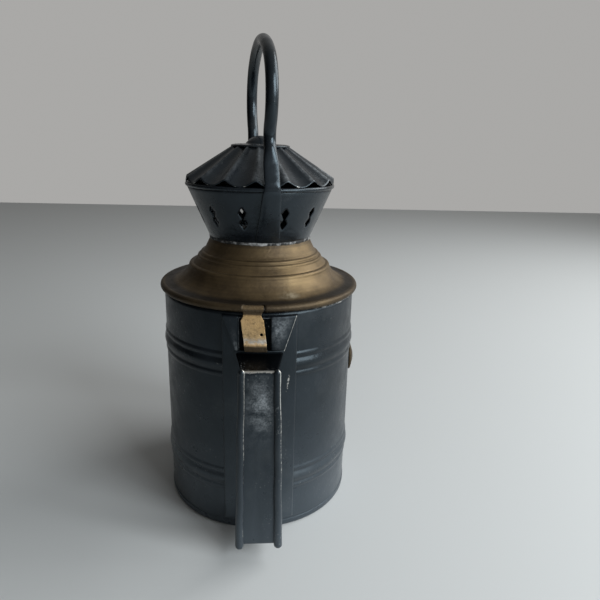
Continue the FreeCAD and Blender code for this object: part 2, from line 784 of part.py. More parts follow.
def make_hinge_rivet(side):
    seat_r = body_r + hinge_leaf_sheet
    x = side * rivet_x
    y = math.sqrt(seat_r ** 2 - x ** 2)
    middle = FreeCAD.Vector(x, y, (hinge_leaf_z0 + hinge_jog_z) / 2)
    return Part.makeSphere(rivet_r, middle).cut(disc(seat_r, 0, body_h))


def make_lens_bezel(envelope):
    bezel = rod_y(bezel_r, 0, bezel_y, lens_z)
    bore = rod_y(bezel_bore_r, 0, bezel_y, lens_z)
    seat = rod_y(lens_r, lens_seat_y, bezel_y, lens_z)
    return bezel.cut([bore, seat, envelope])


def make_front_lens():
    edge = rod_y(lens_r, lens_seat_y, lens_face_y, lens_z)
    ball_r = cap_ball_r(lens_r - lens_ring_wall, lens_dome)
    ball = Part.makeSphere(ball_r, FreeCAD.Vector(0, lens_face_y + lens_dome - ball_r, lens_z))
    dome = ball.common(box(-far, far, lens_face_y, far, -far, far))
    return edge.fuse(dome).removeSplitter()


def make_lens_ring():
    ring = rod_y(lens_r, lens_face_y, bezel_y, lens_z)
    return ring.cut(rod_y(lens_r - lens_ring_wall, lens_face_y, bezel_y, lens_z))


def shaft_rod(r, x0, x1):
    return rod_x(r, x0, x1, shaft_y, shaft_z)


def make_shaft_bush(envelope):
    flange = shaft_rod(bush_flange_r, 0, bush_x).cut(envelope)
    barrel = shaft_rod(bush_r, body_in_r - bush_inside, bush_x)
    return flange.fuse(barrel).cut(shaft_rod(shaft_r + running_fit, 0, far)).removeSplitter()


def make_shaft_bearing():
    cup = shaft_rod(bearing_r, -far, bearing_x).common(disc(body_in_r, 0, body_h))
    return cup.cut(shaft_rod(shaft_r + running_fit, bearing_x - bearing_depth, 0))


def make_signal_knob():
    edge_x = knob_x + knob_edge
    ball_r = cap_ball_r(knob_r, knob_dome)
    ball = Part.makeSphere(ball_r, FreeCAD.Vector(edge_x + knob_dome - ball_r, shaft_y, shaft_z))
    dome = ball.common(box(edge_x, far, -far, far, -far, far))
    knob = shaft_rod(knob_r, knob_x, edge_x).fuse(dome).removeSplitter()
    return knob.cut(shaft_rod(shaft_r, knob_x, knob_x + knob_socket))


def make_knob_shaft():
    return shaft_rod(shaft_r, bearing_x - bearing_depth + shaft_end_gap, knob_x + knob_socket)


def make_glass_frame():
    y0 = shaft_y - frame_thick / 2
    y1 = shaft_y + frame_thick / 2
    hub = shaft_rod(frame_hub_r, -frame_hub_w / 2, frame_hub_w / 2)
    frame = rod_y(frame_r, y0, y1, glass_z).fuse(hub)
    opening = rod_y(frame_r - frame_wall, y0 - frame_hub_r, y1 + frame_hub_r, glass_z)
    return frame.cut([opening, shaft_rod(shaft_r, -far, far)]).removeSplitter()


def make_signal_glass():
    half = glass_thick / 2
    return rod_y(frame_r - frame_wall, shaft_y - half, shaft_y + half, glass_z)


def at_candle(shape):
    return shape.translated(FreeCAD.Vector(0, candle_y, 0))


def make_candle_tray():
    top = body_sheet + tray_rim_h
    return at_candle(disc(tray_r, body_sheet, top).cut(disc(tray_r - tray_sheet, candle_z, top)))


def make_candle_socket():
    top = candle_z + socket_h
    flange = disc(socket_flange_r, candle_z, candle_z + socket_wall)
    tube = disc(candle_r + socket_wall, candle_z, top).fuse(flange)
    return at_candle(tube.cut(disc(candle_r, candle_z, top)).removeSplitter())


def make_candle():
    wax = [(0, candle_z), (candle_r, candle_z), (candle_r, candle_top - candle_shoulder)]
    wax += [(candle_r - candle_shoulder, candle_top), (0, candle_top)]
    return at_candle(revolve_points(wax).cut(disc(wick_r, candle_top - wick_sunk, far)))


def make_wick():
    return at_candle(disc(wick_r, candle_top - wick_sunk, candle_top + wick_h))


def reflector_ball(thick):
    ball_r = cap_ball_r(reflector_r, reflector_depth)
    return Part.makeSphere(ball_r - thick, FreeCAD.Vector(0, reflector_y + ball_r, lens_z))


def make_reflector():
    bowl = reflector_ball(0).cut(reflector_ball(reflector_sheet))
    return bowl.common(box(-far, far, -far, reflector_y + reflector_depth, -far, far))


def make_reflector_stud():
    stud = rod_y(stud_r, -far, reflector_y + reflector_depth / 2, lens_z)
    return stud.common(disc(body_in_r, 0, body_h)).cut(reflector_ball(0))


def build():
    envelope = body_envelope()
    return {
        "body_shell": make_body_shell(),
        "base_pan": make_base_pan(),
        "back_plate": make_back_plate(envelope),
        "grip_handle": make_grip_handle(),
        "body_hinge_leaf": make_body_hinge_leaf(envelope),
        "hinge_rivet_left": make_hinge_rivet(-1),
        "hinge_rivet_right": make_hinge_rivet(1),
        "hinge_pin": make_hinge_pin(),
        "lens_bezel": make_lens_bezel(envelope),
        "front_lens": make_front_lens(),
        "lens_ring": make_lens_ring(),
        "shaft_bush": make_shaft_bush(envelope),
        "shaft_bearing": make_shaft_bearing(),
        "candle_tray": make_candle_tray(),
        "candle_socket": make_candle_socket(),
        "candle": make_candle(),
        "wick": make_wick(),
        "reflector": make_reflector(),
        "reflector_stud": make_reflector_stud(),
        "hood": make_hood(),
        "rim_wire": make_rim_wire(),
        "latch_pin": make_latch_pin(),
        "hood_skirt": make_hood_skirt(),
        "lid_hinge_leaf": make_lid_hinge_leaf(),
        "collar": make_collar(),
        "collar_solder": make_collar_solder(),
        "fluted_cap": make_fluted_cap(),
        "cap_crown": make_cap_crown(),
        "bail": make_bail(),
        "latch_tongue": make_latch_tongue(),
        "signal_knob": make_signal_knob(),
        "knob_shaft": make_knob_shaft(),
        "glass_frame": make_glass_frame(),
        "signal_glass": make_signal_glass(),
    }


os.makedirs("parts", exist_ok=True)
for name, shape in build().items():
    shape.exportStep(os.path.join("parts", name + ".step"))
    print(name, len(shape.Solids), "solid", round(shape.Volume), "mm3", "valid", shape.isValid())
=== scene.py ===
import bpy
import bmesh
import numpy as np
from mathutils import Matrix


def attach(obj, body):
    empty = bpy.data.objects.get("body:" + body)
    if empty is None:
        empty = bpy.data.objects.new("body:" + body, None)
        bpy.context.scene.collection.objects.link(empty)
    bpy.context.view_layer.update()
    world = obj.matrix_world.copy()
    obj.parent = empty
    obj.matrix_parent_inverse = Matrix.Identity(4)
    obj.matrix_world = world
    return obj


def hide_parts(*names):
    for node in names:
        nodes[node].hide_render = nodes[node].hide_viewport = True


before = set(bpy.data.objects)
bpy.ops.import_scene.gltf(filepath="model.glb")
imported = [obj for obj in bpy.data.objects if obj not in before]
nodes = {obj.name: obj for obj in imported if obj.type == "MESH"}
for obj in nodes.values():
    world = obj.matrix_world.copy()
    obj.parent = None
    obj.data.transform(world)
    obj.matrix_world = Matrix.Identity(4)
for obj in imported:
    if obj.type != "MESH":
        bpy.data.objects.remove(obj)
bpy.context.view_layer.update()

mm = 0.001
tau = 2 * np.pi
print("frame loaded", len(nodes), "nodes")

# Mesh tools: every piece is one or more grids of points in millimetres
meshLook = dict(merge=1e-6, sliver=1e-7)  # metres
rippleLook = dict(counts=(2, 3, 5, 7, 11), climb=0.013)


def gridFaces(rows, cols, wrapRows, wrapCols, keep, start):
    # quads between neighbouring rows and columns, with the last joined to the first where it wraps
    a, b = np.meshgrid(np.arange(rows if wrapRows else rows - 1),
                       np.arange(cols if wrapCols else cols - 1), indexing="ij")
    c, d = (a + 1) % rows, (b + 1) % cols
    quads = np.stack([a * cols + b, c * cols + b, c * cols + d, a * cols + d], -1)
    return (quads[keep] if keep is not None else quads.reshape(-1, 4)) + start


def grid(points, wrapRows=False, wrapCols=False, keep=None, wear=0.0):
    # rows and columns of points, the faces to keep, and the wear that the finishes read
    return dict(points=points, wrapRows=wrapRows, wrapCols=wrapCols, keep=keep, wear=wear)


def makePiece(name, grids, body, material, replaces=(), thick=None, offset=-1.0, sharp=40,
              outward=True):
    verts, faces, wears, start = [], [], [], 0
    for g in grids:
        rows, cols = g["points"].shape[:2]
        verts.append(g["points"].reshape(-1, 3) * mm)
        faces.append(gridFaces(rows, cols, g["wrapRows"], g["wrapCols"], g["keep"], start))
        wears.append(np.broadcast_to(g["wear"], (rows, cols)).reshape(-1))
        start += rows * cols
    mesh = bpy.data.meshes.new(name)
    mesh.from_pydata(np.concatenate(verts).tolist(), [], np.concatenate(faces).tolist())
    layer = mesh.attributes.new("wear", "FLOAT", "POINT")
    layer.data.foreach_set("value", np.concatenate(wears).astype(np.float32))
    work = bmesh.new()
    work.from_mesh(mesh)
    bmesh.ops.remove_doubles(work, verts=work.verts, dist=meshLook["merge"])
    bmesh.ops.dissolve_degenerate(work, edges=work.edges, dist=meshLook["sliver"])
    if outward:
        bmesh.ops.recalc_face_normals(work, faces=work.faces)
    work.to_mesh(mesh)
    work.free()
    mesh.shade_smooth()
    mesh.set_sharp_from_angle(angle=np.radians(sharp))
    piece = bpy.data.objects.new(name, mesh)
    bpy.context.scene.collection.objects.link(piece)
    mesh.materials.append(material)
    if thick:
        wall = piece.modifiers.new("wall", "SOLIDIFY")
        wall.thickness = thick * mm
        wall.offset = offset
    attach(piece, body)
    if replaces:
        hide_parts(*replaces)


def circle(steps):
    # equal angles once round, without the repeated end
    return np.linspace(0, tau, steps, endpoint=False)


def around(r, angle, z):
    # a point at radius r and height z, turned by angle from -Y towards +X
    return np.stack(np.broadcast_arrays(r * np.sin(angle), -r * np.cos(angle), z), -1)


def turned(points, degrees):
    # the points turned about Z
    c, s = np.cos(np.radians(degrees)), np.sin(np.radians(degrees))
    x, y, z = np.moveaxis(points, -1, 0)
    return np.stack([x * c - y * s, x * s + y * c, z], -1)


def spin(profile, steps=192):
    # the profile's radius and height carried once round Z
    p = np.asarray(profile, float)
    return around(p[:, :1], circle(steps)[None, :], p[:, 1:2])


def spinAlong(profile, axis, across, z, steps=96):
    # the profile's radius and distance carried once round a level axis along X or Y
    angle = circle(steps)[None, :]
    p = np.asarray(profile, float)
    r, along = p[:, :1], p[:, 1:2] + 0 * angle
    sideways, up = across + r * np.cos(angle), z + r * np.sin(angle)
    return np.stack([along, sideways, up] if axis == "x" else [sideways, along, up], -1)


def bend(centre, r, start, end, steps):
    # points on an arc, angles in degrees
    t = np.radians(np.linspace(start, end, steps))
    return np.stack([centre[0] + r * np.cos(t), centre[1] + r * np.sin(t)], -1)


def finer(points, step):
    # the same line with points about a step apart, every corner kept
    p = np.asarray(points, float)
    out = [np.linspace(a, b, max(2, int(np.hypot(*(b - a)) / step) + 1))[:-1] for a, b in zip(p, p[1:])]
    return np.concatenate(out + [p[-1:]])


def edged(margin, gap, inner, outer=9):
    # shares from 0 to 1 that stand closer together in a margin at each end
    return np.concatenate([np.linspace(0, margin, outer), np.linspace(gap, 1 - gap, inner),
                           np.linspace(1 - margin, 1, outer)])


def between(a, b, t):
    # a straight run from a to b
    return a + (b - a) * t


def within(value, ends):
    return (value > ends[0]) & (value < ends[1])


def hill(distance, width):
    # a bell: e to the minus (distance / width) squared
    return np.exp(-(distance / width) ** 2)


def fade(distance, reach):
    # e to the minus distance / reach
    return np.exp(-distance / reach)


def ramp(value, start, length):
    # 0 up to the start, then straight up to 1
    return np.clip((value - start) / length, 0, 1)


def quarterRound(t):
    # the height of a quarter circle: the root of 1 - (1 - t) squared
    return np.sqrt(np.clip(1 - (1 - np.clip(t, 0, 1)) ** 2, 0, 1))


def ripple(angle, z, seed):
    # a gentle unevenness, the sum of a few waves round and along the piece
    rng = np.random.default_rng(seed)
    total = 0
    for k in rippleLook["counts"]:
        a, b = rng.uniform(0, tau, 2)
        total = total + np.sin(k * angle + a) * np.cos(rippleLook["climb"] * k * z + b) / k
    return total


def waveSum(z, waves, side):
    # waves along z, each given as size, rate and shift
    return sum(size * np.sin(rate * z + shift * side) for size, rate, shift in waves)


# Materials: all from noise on Object coordinates and the wear attribute

def addNode(tree, kind, values=None, **props):
    node = tree.nodes.new(kind)
    for key, value in props.items():
        setattr(node, key, value)
    for key, value in (values or {}).items():
        if isinstance(value, bpy.types.NodeSocket):
            tree.links.new(value, node.inputs[key])
        else:
            node.inputs[key].default_value = value
    return node


def newFinish(name):
    mat = bpy.data.materials.new(name)
    mat.use_nodes = True
    tree = mat.node_tree
    place = addNode(tree, "ShaderNodeTexCoord").outputs["Object"]
    return mat, tree, tree.nodes["Principled BSDF"], place


def noise(tree, place, scale, detail, rough):
    return addNode(tree, "ShaderNodeTexNoise", {"Vector": place, "Scale": scale, "Detail": detail,
                                                "Roughness": rough}).outputs["Fac"]


def span(tree, value, low, high, toLow=0.0, toHigh=1.0):
    return addNode(tree, "ShaderNodeMapRange", {"Value": value, "From Min": low, "From Max": high,
                                                "To Min": toLow, "To Max": toHigh}).outputs["Result"]


def patches(tree, place, pattern, toLow=0.0, toHigh=1.0):
    # noise cut to a mask: scale, detail, roughness and the two edges of the cut
    scale, detail, rough, low, high = pattern
    return span(tree, noise(tree, place, scale, detail, rough), low, high, toLow, toHigh)


def calc(tree, how, a, b):
    return addNode(tree, "ShaderNodeMath", {0: a, 1: b}, operation=how).outputs[0]


def times(tree, product, *others):
    for other in others:
        product = calc(tree, "MULTIPLY", product, other)
    return product


def mixColour(tree, fac, a, b):
    node = addNode(tree, "ShaderNodeMix", data_type="RGBA")
    for index, value in ((0, fac), (6, a), (7, b)):
        if isinstance(value, bpy.types.NodeSocket):
            tree.links.new(value, node.inputs[index])
        else:
            node.inputs[index].default_value = value if index == 0 else (*value, 1)
    return node.outputs[2]


def shaded(colour, share):
    return tuple(value * share for value in colour)


def bump(tree, shader, *layers):
    # bumps one upon another, each given as height, strength and distance
    normal = None
    for height, strength, distance in layers:
        values = {"Height": height, "Strength": strength, "Distance": distance}
        if normal is not None:
            values["Normal"] = normal
        normal = addNode(tree, "ShaderNodeBump", values).outputs["Normal"]
    tree.links.new(normal, shader.inputs["Normal"])


# the lighter colour towards the base is painted light bounced up from the floor, and the near-black below a
# wear of -1 is painted shade
paintLook = dict(
    dark=(0.0024, 0.0034, 0.005), light=(0.0083, 0.0107, 0.0142), dust=(0.13, 0.135, 0.135),
    floorBounce=(0.046, 0.055, 0.065), scuff=(0.29, 0.31, 0.325), bare=(0.44, 0.43, 0.4), bareMetal=0.7,
    tint=(0.74, 0.9, 1.0), gloss=(0.24, 0.44), shine=(0.36, 0.56), shineZ=(0.146, 0.02),
    floorBounceZ=(0.125, 0.015), floorBounceLeast=0.75, dustMost=0.42, paintedShadeAt=(-2, -1.2), paintedShadeTone=0.3, paintedShadeShine=0.1,
    clouds=(42, 6, 0.55, 0.35, 0.68), blooms=(23, 5, 0.6, 0.56, 0.78), floorBouncePatches=(30, 4, 0.55, 0.3, 0.7),
    specks=(760, 2, 0.5, 0.655, 0.705), speckZones=(30, 2, 0.55, 0.5, 0.66),
    scuffs=(150, 6, 0.7, 0.36, 0.66), scuffGrain=(900, 4, 0.7, 0.28, 0.6), dulls=(90, 5, 0.55, 0.3, 0.7),
    chips=(260, 5, 0.7), chipDepth=1.1, wearCut=(1.05, 1.17),
    fine=(420, 5, 0.65), fineBump=(0.16, 0.0004), brush=(95, 3, 0.55), brushBump=(0.22, 0.0012))


def blackPaint(name, **changes):
    # thick brushed paint: cloudy black that turns lighter towards the base as painted light bounced up from
    # the floor, dusty blooms and pale specks, bare metal where the wear attribute is high, chalky scuffs
    # where it is below zero and painted shade, a dull near-black, where it is below -1
    look = dict(paintLook, **changes)
    mat, tree, shader, place = newFinish(name)
    fine = noise(tree, place, *look["fine"])
    worn = addNode(tree, "ShaderNodeAttribute", attribute_name="wear").outputs["Fac"]
    ragged = calc(tree, "ADD", worn, times(tree, noise(tree, place, *look["chips"]), look["chipDepth"]))
    bareMask = span(tree, ragged, *look["wearCut"])
    # painted shade: below a wear of -1 the paint turns a dull near-black with little shine
    unshaded = span(tree, worn, *look["paintedShadeAt"])
    scuffMask = times(tree, span(tree, worn, 0, -1), patches(tree, place, look["scuffs"]),
                      patches(tree, place, look["scuffGrain"]), unshaded)
    height = addNode(tree, "ShaderNodeSeparateXYZ", {0: place}).outputs["Z"]
    # painted light: the paint turns lighter towards the base, as if lit by light bounced from the floor
    low = span(tree, height, *look["floorBounceZ"])
    floorBounce = times(tree, low, low, patches(tree, place, look["floorBouncePatches"], look["floorBounceLeast"], 1))
    bloomMask = times(tree, patches(tree, place, look["blooms"], 0, look["dustMost"]), fine)
    speckMask = times(tree, patches(tree, place, look["specks"]), patches(tree, place, look["speckZones"]))
    colour = mixColour(tree, patches(tree, place, look["clouds"]), look["dark"], look["light"])
    colour = mixColour(tree, floorBounce, colour, look["floorBounce"])
    colour = mixColour(tree, unshaded, shaded(look["dark"], look["paintedShadeTone"]), colour)
    for mask, over in ((scuffMask, "scuff"), (bloomMask, "dust"), (speckMask, "dust"), (bareMask, "bare")):
        colour = mixColour(tree, mask, colour, look[over])
    shine = times(tree, span(tree, height, *look["shineZ"], *look["shine"]),
                  span(tree, unshaded, 0, 1, look["paintedShadeShine"], 1))
    tree.links.new(colour, shader.inputs["Base Color"])
    tree.links.new(times(tree, bareMask, look["bareMetal"]), shader.inputs["Metallic"])
    tree.links.new(patches(tree, place, look["dulls"], *look["gloss"]), shader.inputs["Roughness"])
    tree.links.new(shine, shader.inputs["Specular IOR Level"])
    shader.inputs["Specular Tint"].default_value = (*look["tint"], 1)
    bump(tree, shader, (noise(tree, place, *look["brush"]), *look["brushBump"]), (fine, *look["fineBump"]))
    return mat


brassLook = dict(
    bright=(0.166, 0.116, 0.058), brown=(0.068, 0.047, 0.026), dark=(0.012, 0.0105, 0.01),
    pale=(0.34, 0.29, 0.2), gloss=(0.43, 0.58), metal=0.8,
    clouds=(34, 6, 0.62, 0.36, 0.66), stains=(88, 6, 0.7, 0.58, 0.74), stainMost=0.95,
    latheScale=(9, 9, 1100), rings=(1, 3, 0.6, 0.36, 0.64), ringMost=0.13,
    whitish=(330, 5, 0.7, 0.36, 0.6), dulls=(120, 5, 0.55, 0.3, 0.7),
    waves=(70, 3, 0.55), waveBump=(0.15, 0.001), fine=(620, 4, 0.7), pitBump=(0.4, 0.0005))


def agedBrass(name, **changes):
    # rubbed brass under brown lacquer: broad brown clouds, faint rings from the lathe, dark stains in
    # spots, fine pits, darker where the wear attribute is below zero and whitish where it is above
    look = dict(brassLook, **changes)
    mat, tree, shader, place = newFinish(name)
    fine = noise(tree, place, *look["fine"])
    worn = addNode(tree, "ShaderNodeAttribute", attribute_name="wear").outputs["Fac"]
    lathe = addNode(tree, "ShaderNodeMapping",
                    {"Vector": place, "Scale": look["latheScale"]}).outputs["Vector"]
    stain = times(tree, patches(tree, place, look["stains"], 0, look["stainMost"]), fine)
    colour = mixColour(tree, patches(tree, place, look["clouds"]), look["brown"], look["bright"])
    for mask in (patches(tree, lathe, look["rings"], look["ringMost"], 0), stain, span(tree, worn, 0, -1)):
        colour = mixColour(tree, mask, colour, look["dark"])
    whitish = times(tree, span(tree, worn, 0, 1), patches(tree, place, look["whitish"]))
    tree.links.new(mixColour(tree, whitish, colour, look["pale"]), shader.inputs["Base Color"])
    shader.inputs["Metallic"].default_value = look["metal"]
    tree.links.new(patches(tree, place, look["dulls"], *look["gloss"]), shader.inputs["Roughness"])
    bump(tree, shader, (noise(tree, place, *look["waves"]), *look["waveBump"]), (fine, *look["pitBump"]))
    return mat


plainLook = dict(blotches=(60, 5, 0.55, 0.3, 0.7), mottle=0.25, dulls=(140, 4, 0.55, 0.3, 0.7),
                 dullSpan=(0.8, 1.2), grain=(300, 4, 0.55), grainBump=(0.2, 0.0005))


def plainFinish(name, colour, metal, rough, **changes):
    # a quieter finish: one colour with a mottle, an uneven gloss and a fine grain
    look = dict(plainLook, **changes)
    mat, tree, shader, place = newFinish(name)
    darker = shaded(colour, 1 - look["mottle"])
    smooth, dull = (min(1, rough * share) for share in look["dullSpan"])
    tree.links.new(mixColour(tree, patches(tree, place, look["blotches"]), darker, colour),
                   shader.inputs["Base Color"])
    shader.inputs["Metallic"].default_value = metal
    tree.links.new(patches(tree, place, look["dulls"], smooth, dull), shader.inputs["Roughness"])
    bump(tree, shader, (noise(tree, place, *look["grain"]), *look["grainBump"]))
    return mat


glassLook = dict(clouds=(50, 3, 0.55, 0.3, 0.7), shade=0.93, ior=1.5)


def tintedGlass(name, colour, rough):
    # clear tinted glass whose tint is a little uneven
    mat, tree, shader, place = newFinish(name)
    tint = mixColour(tree, patches(tree, place, glassLook["clouds"]),
                     shaded(colour, glassLook["shade"]), colour)
    tree.links.new(tint, shader.inputs["Base Color"])
    shader.inputs["Transmission Weight"].default_value = 1.0
    shader.inputs["Roughness"].default_value = rough
    shader.inputs["IOR"].default_value = glassLook["ior"]
    return mat


paint = blackPaint("wornBlackPaint")
gripPaint = blackPaint("handledBlackPaint", specks=(760, 2, 0.5, 0.64, 0.69), wearCut=(1.04, 1.16),
                       gloss=(0.26, 0.46), chips=(600, 5, 0.7))
capPaint = blackPaint("sootBlackPaint", gloss=(0.15, 0.34), shine=(0.46, 0.46),
                      specks=(760, 2, 0.5, 0.72, 0.77))
hoodBrass = agedBrass("agedHoodBrass")
tongueBrass = agedBrass("rubbedTongueBrass", latheScale=(90, 90, 90), bright=(0.69, 0.48, 0.25),
                        brown=(0.50, 0.32, 0.14), dark=(0.03, 0.021, 0.012), pale=(0.6, 0.58, 0.54),
                        stains=(420, 6, 0.7, 0.5, 0.66), pitBump=(0.8, 0.0005), metal=0.45)
solderGrey = plainFinish("greySolder", (0.4, 0.4, 0.395), 0.3, 0.6, grain=(420, 4, 0.55), mottle=0.95,
                         blotches=(320, 5, 0.55, 0.46, 0.68))
wireSteel = plainFinish("dullSteel", (0.30, 0.29, 0.28), 0.9, 0.45)
tinSheet = plainFinish("tinnedSheet", (0.52, 0.51, 0.48), 0.85, 0.42)
silver = plainFinish("silveredBowl", (0.86, 0.86, 0.84), 1.0, 0.12, grain=(200, 4, 0.55), mottle=0.08)
wax = plainFinish("candleWax", (0.86, 0.80, 0.66), 0.0, 0.5, grain=(120, 4, 0.55), mottle=0.1)
char = plainFinish("charredWick", (0.035, 0.03, 0.026), 0.0, 0.9, grain=(900, 4, 0.55), mottle=0.4)
clearGlass = tintedGlass("clearLensGlass", (0.95, 0.98, 0.97), 0.02)
redGlass = tintedGlass("redSignalGlass", (0.62, 0.03, 0.025), 0.03)
print("finishes made")

# Body can; each ridge of a bead is given as shift, half width and height
can = dict(r=62.6, bottom=0.8, top=146.0, sheet=0.8, beads=(35.0, 113.0), beadReach=8.5,
           ridges=((-6.1, 2.3, 0.6), (0, 4.8, 1.25), (6.1, 2.3, 0.6)), lensZ=74.0, lensHole=26.5,
           dents=0.16, seed=3, beadRub=0.34, topRub=0.35, topSwing=0.3, topReach=2.5)


def wallHeight(z):
    # three soft ridges at each bead, each (1 - (distance / half width) squared) squared
    rise = 0 * z
    for middle in can["beads"]:
        for shift, half, height in can["ridges"]:
            rise = rise + height * np.clip(1 - ((z - middle - shift) / half) ** 2, 0, None) ** 2
    return rise


def makeBodyWall(look):
    # over height and angle, the can's radius with its beads and a ripple, less the faces in the lens hole
    levels = [np.linspace(look["bottom"], look["top"], 60)]
    for bead in look["beads"]:
        levels.append(np.linspace(bead - look["beadReach"], bead + look["beadReach"], 52))
    z = np.unique(np.concatenate(levels))[:, None]
    angle = circle(288)[None, :]
    r = look["r"] + wallHeight(z) + look["dents"] * ripple(angle, z, look["seed"]) - look["dents"]
    points = around(r, angle, z)
    x, y, high = np.moveaxis((points[:-1] + np.roll(points, -1, 1)[1:]) / 2, -1, 0)
    hole = (np.hypot(x, high - look["lensZ"]) < look["lensHole"]) & (y > 0)
    rub = look["beadRub"] * np.clip(wallHeight(z), 0, 1)
    rub = rub + fade(look["top"] - z, look["topReach"]) * (look["topRub"] + look["topSwing"] * np.sin(angle))
    makePiece("bodyWall", [grid(points, wrapCols=True, keep=~hole, wear=rub)], "body",
              paint, ("body_shell",), look["sheet"])


makeBodyWall(can)

# Base pan: a dish with a round foot and a small lip that hooks over the can
pan = dict(flat=60.3, foot=(61.3, 1.5), footR=1.5, lip=(62.4, 3.9), lipR=0.4, inner=(61.9, 0.9), floor=0.8,
           rub=0.15, rubFrom=3.5)


def makeBasePan(look):
    # a line out along the underside, round the foot, over the lip and back inside, carried round Z
    line = finer(np.concatenate([[(0, 0), (look["flat"], 0)], bend(look["foot"], look["footR"], -90, 0, 8),
                                 bend(look["lip"], look["lipR"], 0, 180, 8),
                                 [look["inner"], (0, look["floor"])]]), 4)
    rub = look["rub"] * (line[:, 1:2] > look["rubFrom"])
    makePiece("basePan", [grid(spin(line), wrapCols=True, wear=rub)], "body", paint,
              ("base_pan",))


makeBasePan(pan)

# Back plate: a curved sheet whose margins turn in to the wall over a small quarter round
plate = dict(r=65.0, root=62.4, half=22.25, z0=7.0, z1=144.5, turnIn=1.3, inset=0.06, sheet=0.6,
             rub=0.42, rubAt=0.9, rubReach=0.7, footTo=3, footRub=1.25, upperRub=0.6,
             streak=0.62, streakX=16.8, streakZ=103, streakLean=0.14, streakWidth=1.1, streakLength=8,
             paintedShade=-2.2, slotShadeX=(-11.9, 6.3), slotShadeZ=(121, 143.6))


def makeBackPlate(look):
    # over angle and height, the radius rises by a quarter round of the distance to the nearest edge
    halfAngle = np.arcsin(look["half"] / look["r"])
    angle, z = np.meshgrid(between(-halfAngle, halfAngle, edged(0.06, 0.09, 76)),
                           between(look["z0"], look["z1"], edged(0.016, 0.03, 150)))
    edge = np.minimum((halfAngle - np.abs(angle)) * look["r"], np.minimum(z - look["z0"], look["z1"] - z))
    r = between(look["root"], look["r"], quarterRound(edge / look["turnIn"])) - look["inset"]
    rub = look["rub"] * fade(np.abs(edge - look["rubAt"]), look["rubReach"])
    rub = rub * np.where(z < look["z0"] + look["footTo"], look["footRub"], look["upperRub"])
    # a chipped streak beside the grip, and painted shade in the slot behind the tongue
    x, above = look["r"] * np.sin(angle), z - look["streakZ"]
    streak = hill(x - look["streakX"] - look["streakLean"] * above, look["streakWidth"])
    rub = rub + look["streak"] * streak * hill(above, look["streakLength"])
    rub = np.where(within(x, look["slotShadeX"]) & within(z, look["slotShadeZ"]), look["paintedShade"], rub)
    makePiece("backPlate", [grid(around(r, angle, z), wear=rub)], "body", gripPaint,
              ("back_plate",), look["sheet"])


makeBackPlate(plate)

# Hand grip: a strip carried along its bent side view, two rolled edges and the flaps on the plate
grip = dict(y=-90.4, root=-64.7, z0=12.6, z1=122.0, corner=1.6, gap=0.3, low=11.3, top=9.45, legRoot=13.4,
            sheet=1.2, sag=0.25, sagRate=1.5, seed=8, upright=(0.03, 0.97), faceTo=1, bendTo=1.75,
            cornerRub=0.85, lowCorner=0.65, cornerWidth=0.75, edgeRub=0.42, edgePower=14,
            scuffZ=102, scuffLength=15, scuffX=0.1, scuffWidth=0.65, paintedShade=2.2)


def gripSide(look):
    # the side view: out along the low leg, up the strip and back along the top leg, with round corners
    y, z0, z1, corner, gap = (look[key] for key in ("y", "z0", "z1", "corner", "gap"))
    return np.concatenate([
        finer([(look["root"], z0), (y + corner, z0)], 1.5),
        bend((y + corner, z0 + corner), corner, 270, 180, 8),
        finer([(y, z0 + corner + gap), (y, z1 - corner - gap)], 2.0),
        bend((y + corner, z1 - corner), corner, 180, 90, 8),
        finer([(y + corner + gap, z1), (look["root"], z1)], 1.5)])


def makeGripStrip(look):
    # the side view spread to a half width that tapers upwards and widens again along the top leg
    side = gripSide(look)
    y, z = side[:, :1], side[:, 1:2]
    rise = np.clip((z - look["z0"]) / (look["z1"] - look["z0"]), 0, 1)
    onLeg = (rise > look["upright"][1]) * np.clip((y - look["y"]) / (look["root"] - look["y"]), 0, 1)
    half = between(look["low"], look["top"], rise) + (look["legRoot"] - look["top"]) * onLeg
    u = np.linspace(-1, 1, 25)[None, :]
    sag = look["sag"] * ripple(u * 2, z, look["seed"]) * np.cos(u * look["sagRate"])
    sag = sag * within(rise, look["upright"])
    points = np.stack(np.broadcast_arrays(u * half, y + sag, z), -1)
    # bright corners and edges, a chalky patch high on the face, painted shade on the top leg
    outer = y < look["y"] + look["bendTo"]
    width = look["cornerWidth"]
    corners = hill(z - look["z1"], width) + look["lowCorner"] * hill(z - look["z0"], width)
    edges = np.abs(u) ** look["edgePower"] * (onLeg == 0)
    rub = look["cornerRub"] * corners * outer + look["edgeRub"] * edges
    scuffs = hill(z - look["scuffZ"], look["scuffLength"]) * hill(u - look["scuffX"], look["scuffWidth"])
    rub = rub - scuffs * (y < look["y"] + look["faceTo"])
    # painted shade: the top leg is made a dull near-black
    rub = rub - look["paintedShade"] * ((z > look["z1"] - look["gap"]) & ~outer)
    makePiece("gripStrip", [grid(points, wear=rub)], "body", gripPaint, ("grip_handle",),
              look["sheet"], 0.0, outward=False)


makeGripStrip(grip)

rolls = dict(y=-90.7, z0=10.0, z1=124.1, r0=2.5, r1=1.9, over=0.01,
             waves=((0.12, 0.21, 1), (0.1, 0.077, 2)), patchy=((0.3, 0.11, 1.3), (0.2, 0.37, 1)),
             rubAt=0.82, rubWidth=0.16, rubBehind=0.2, rub=0.36, patchRub=0.16, patchMid=0.5,
             upperRub=0.34, upperFrom=45, upperBy=65, endRub=0.3, endReach=2.5)


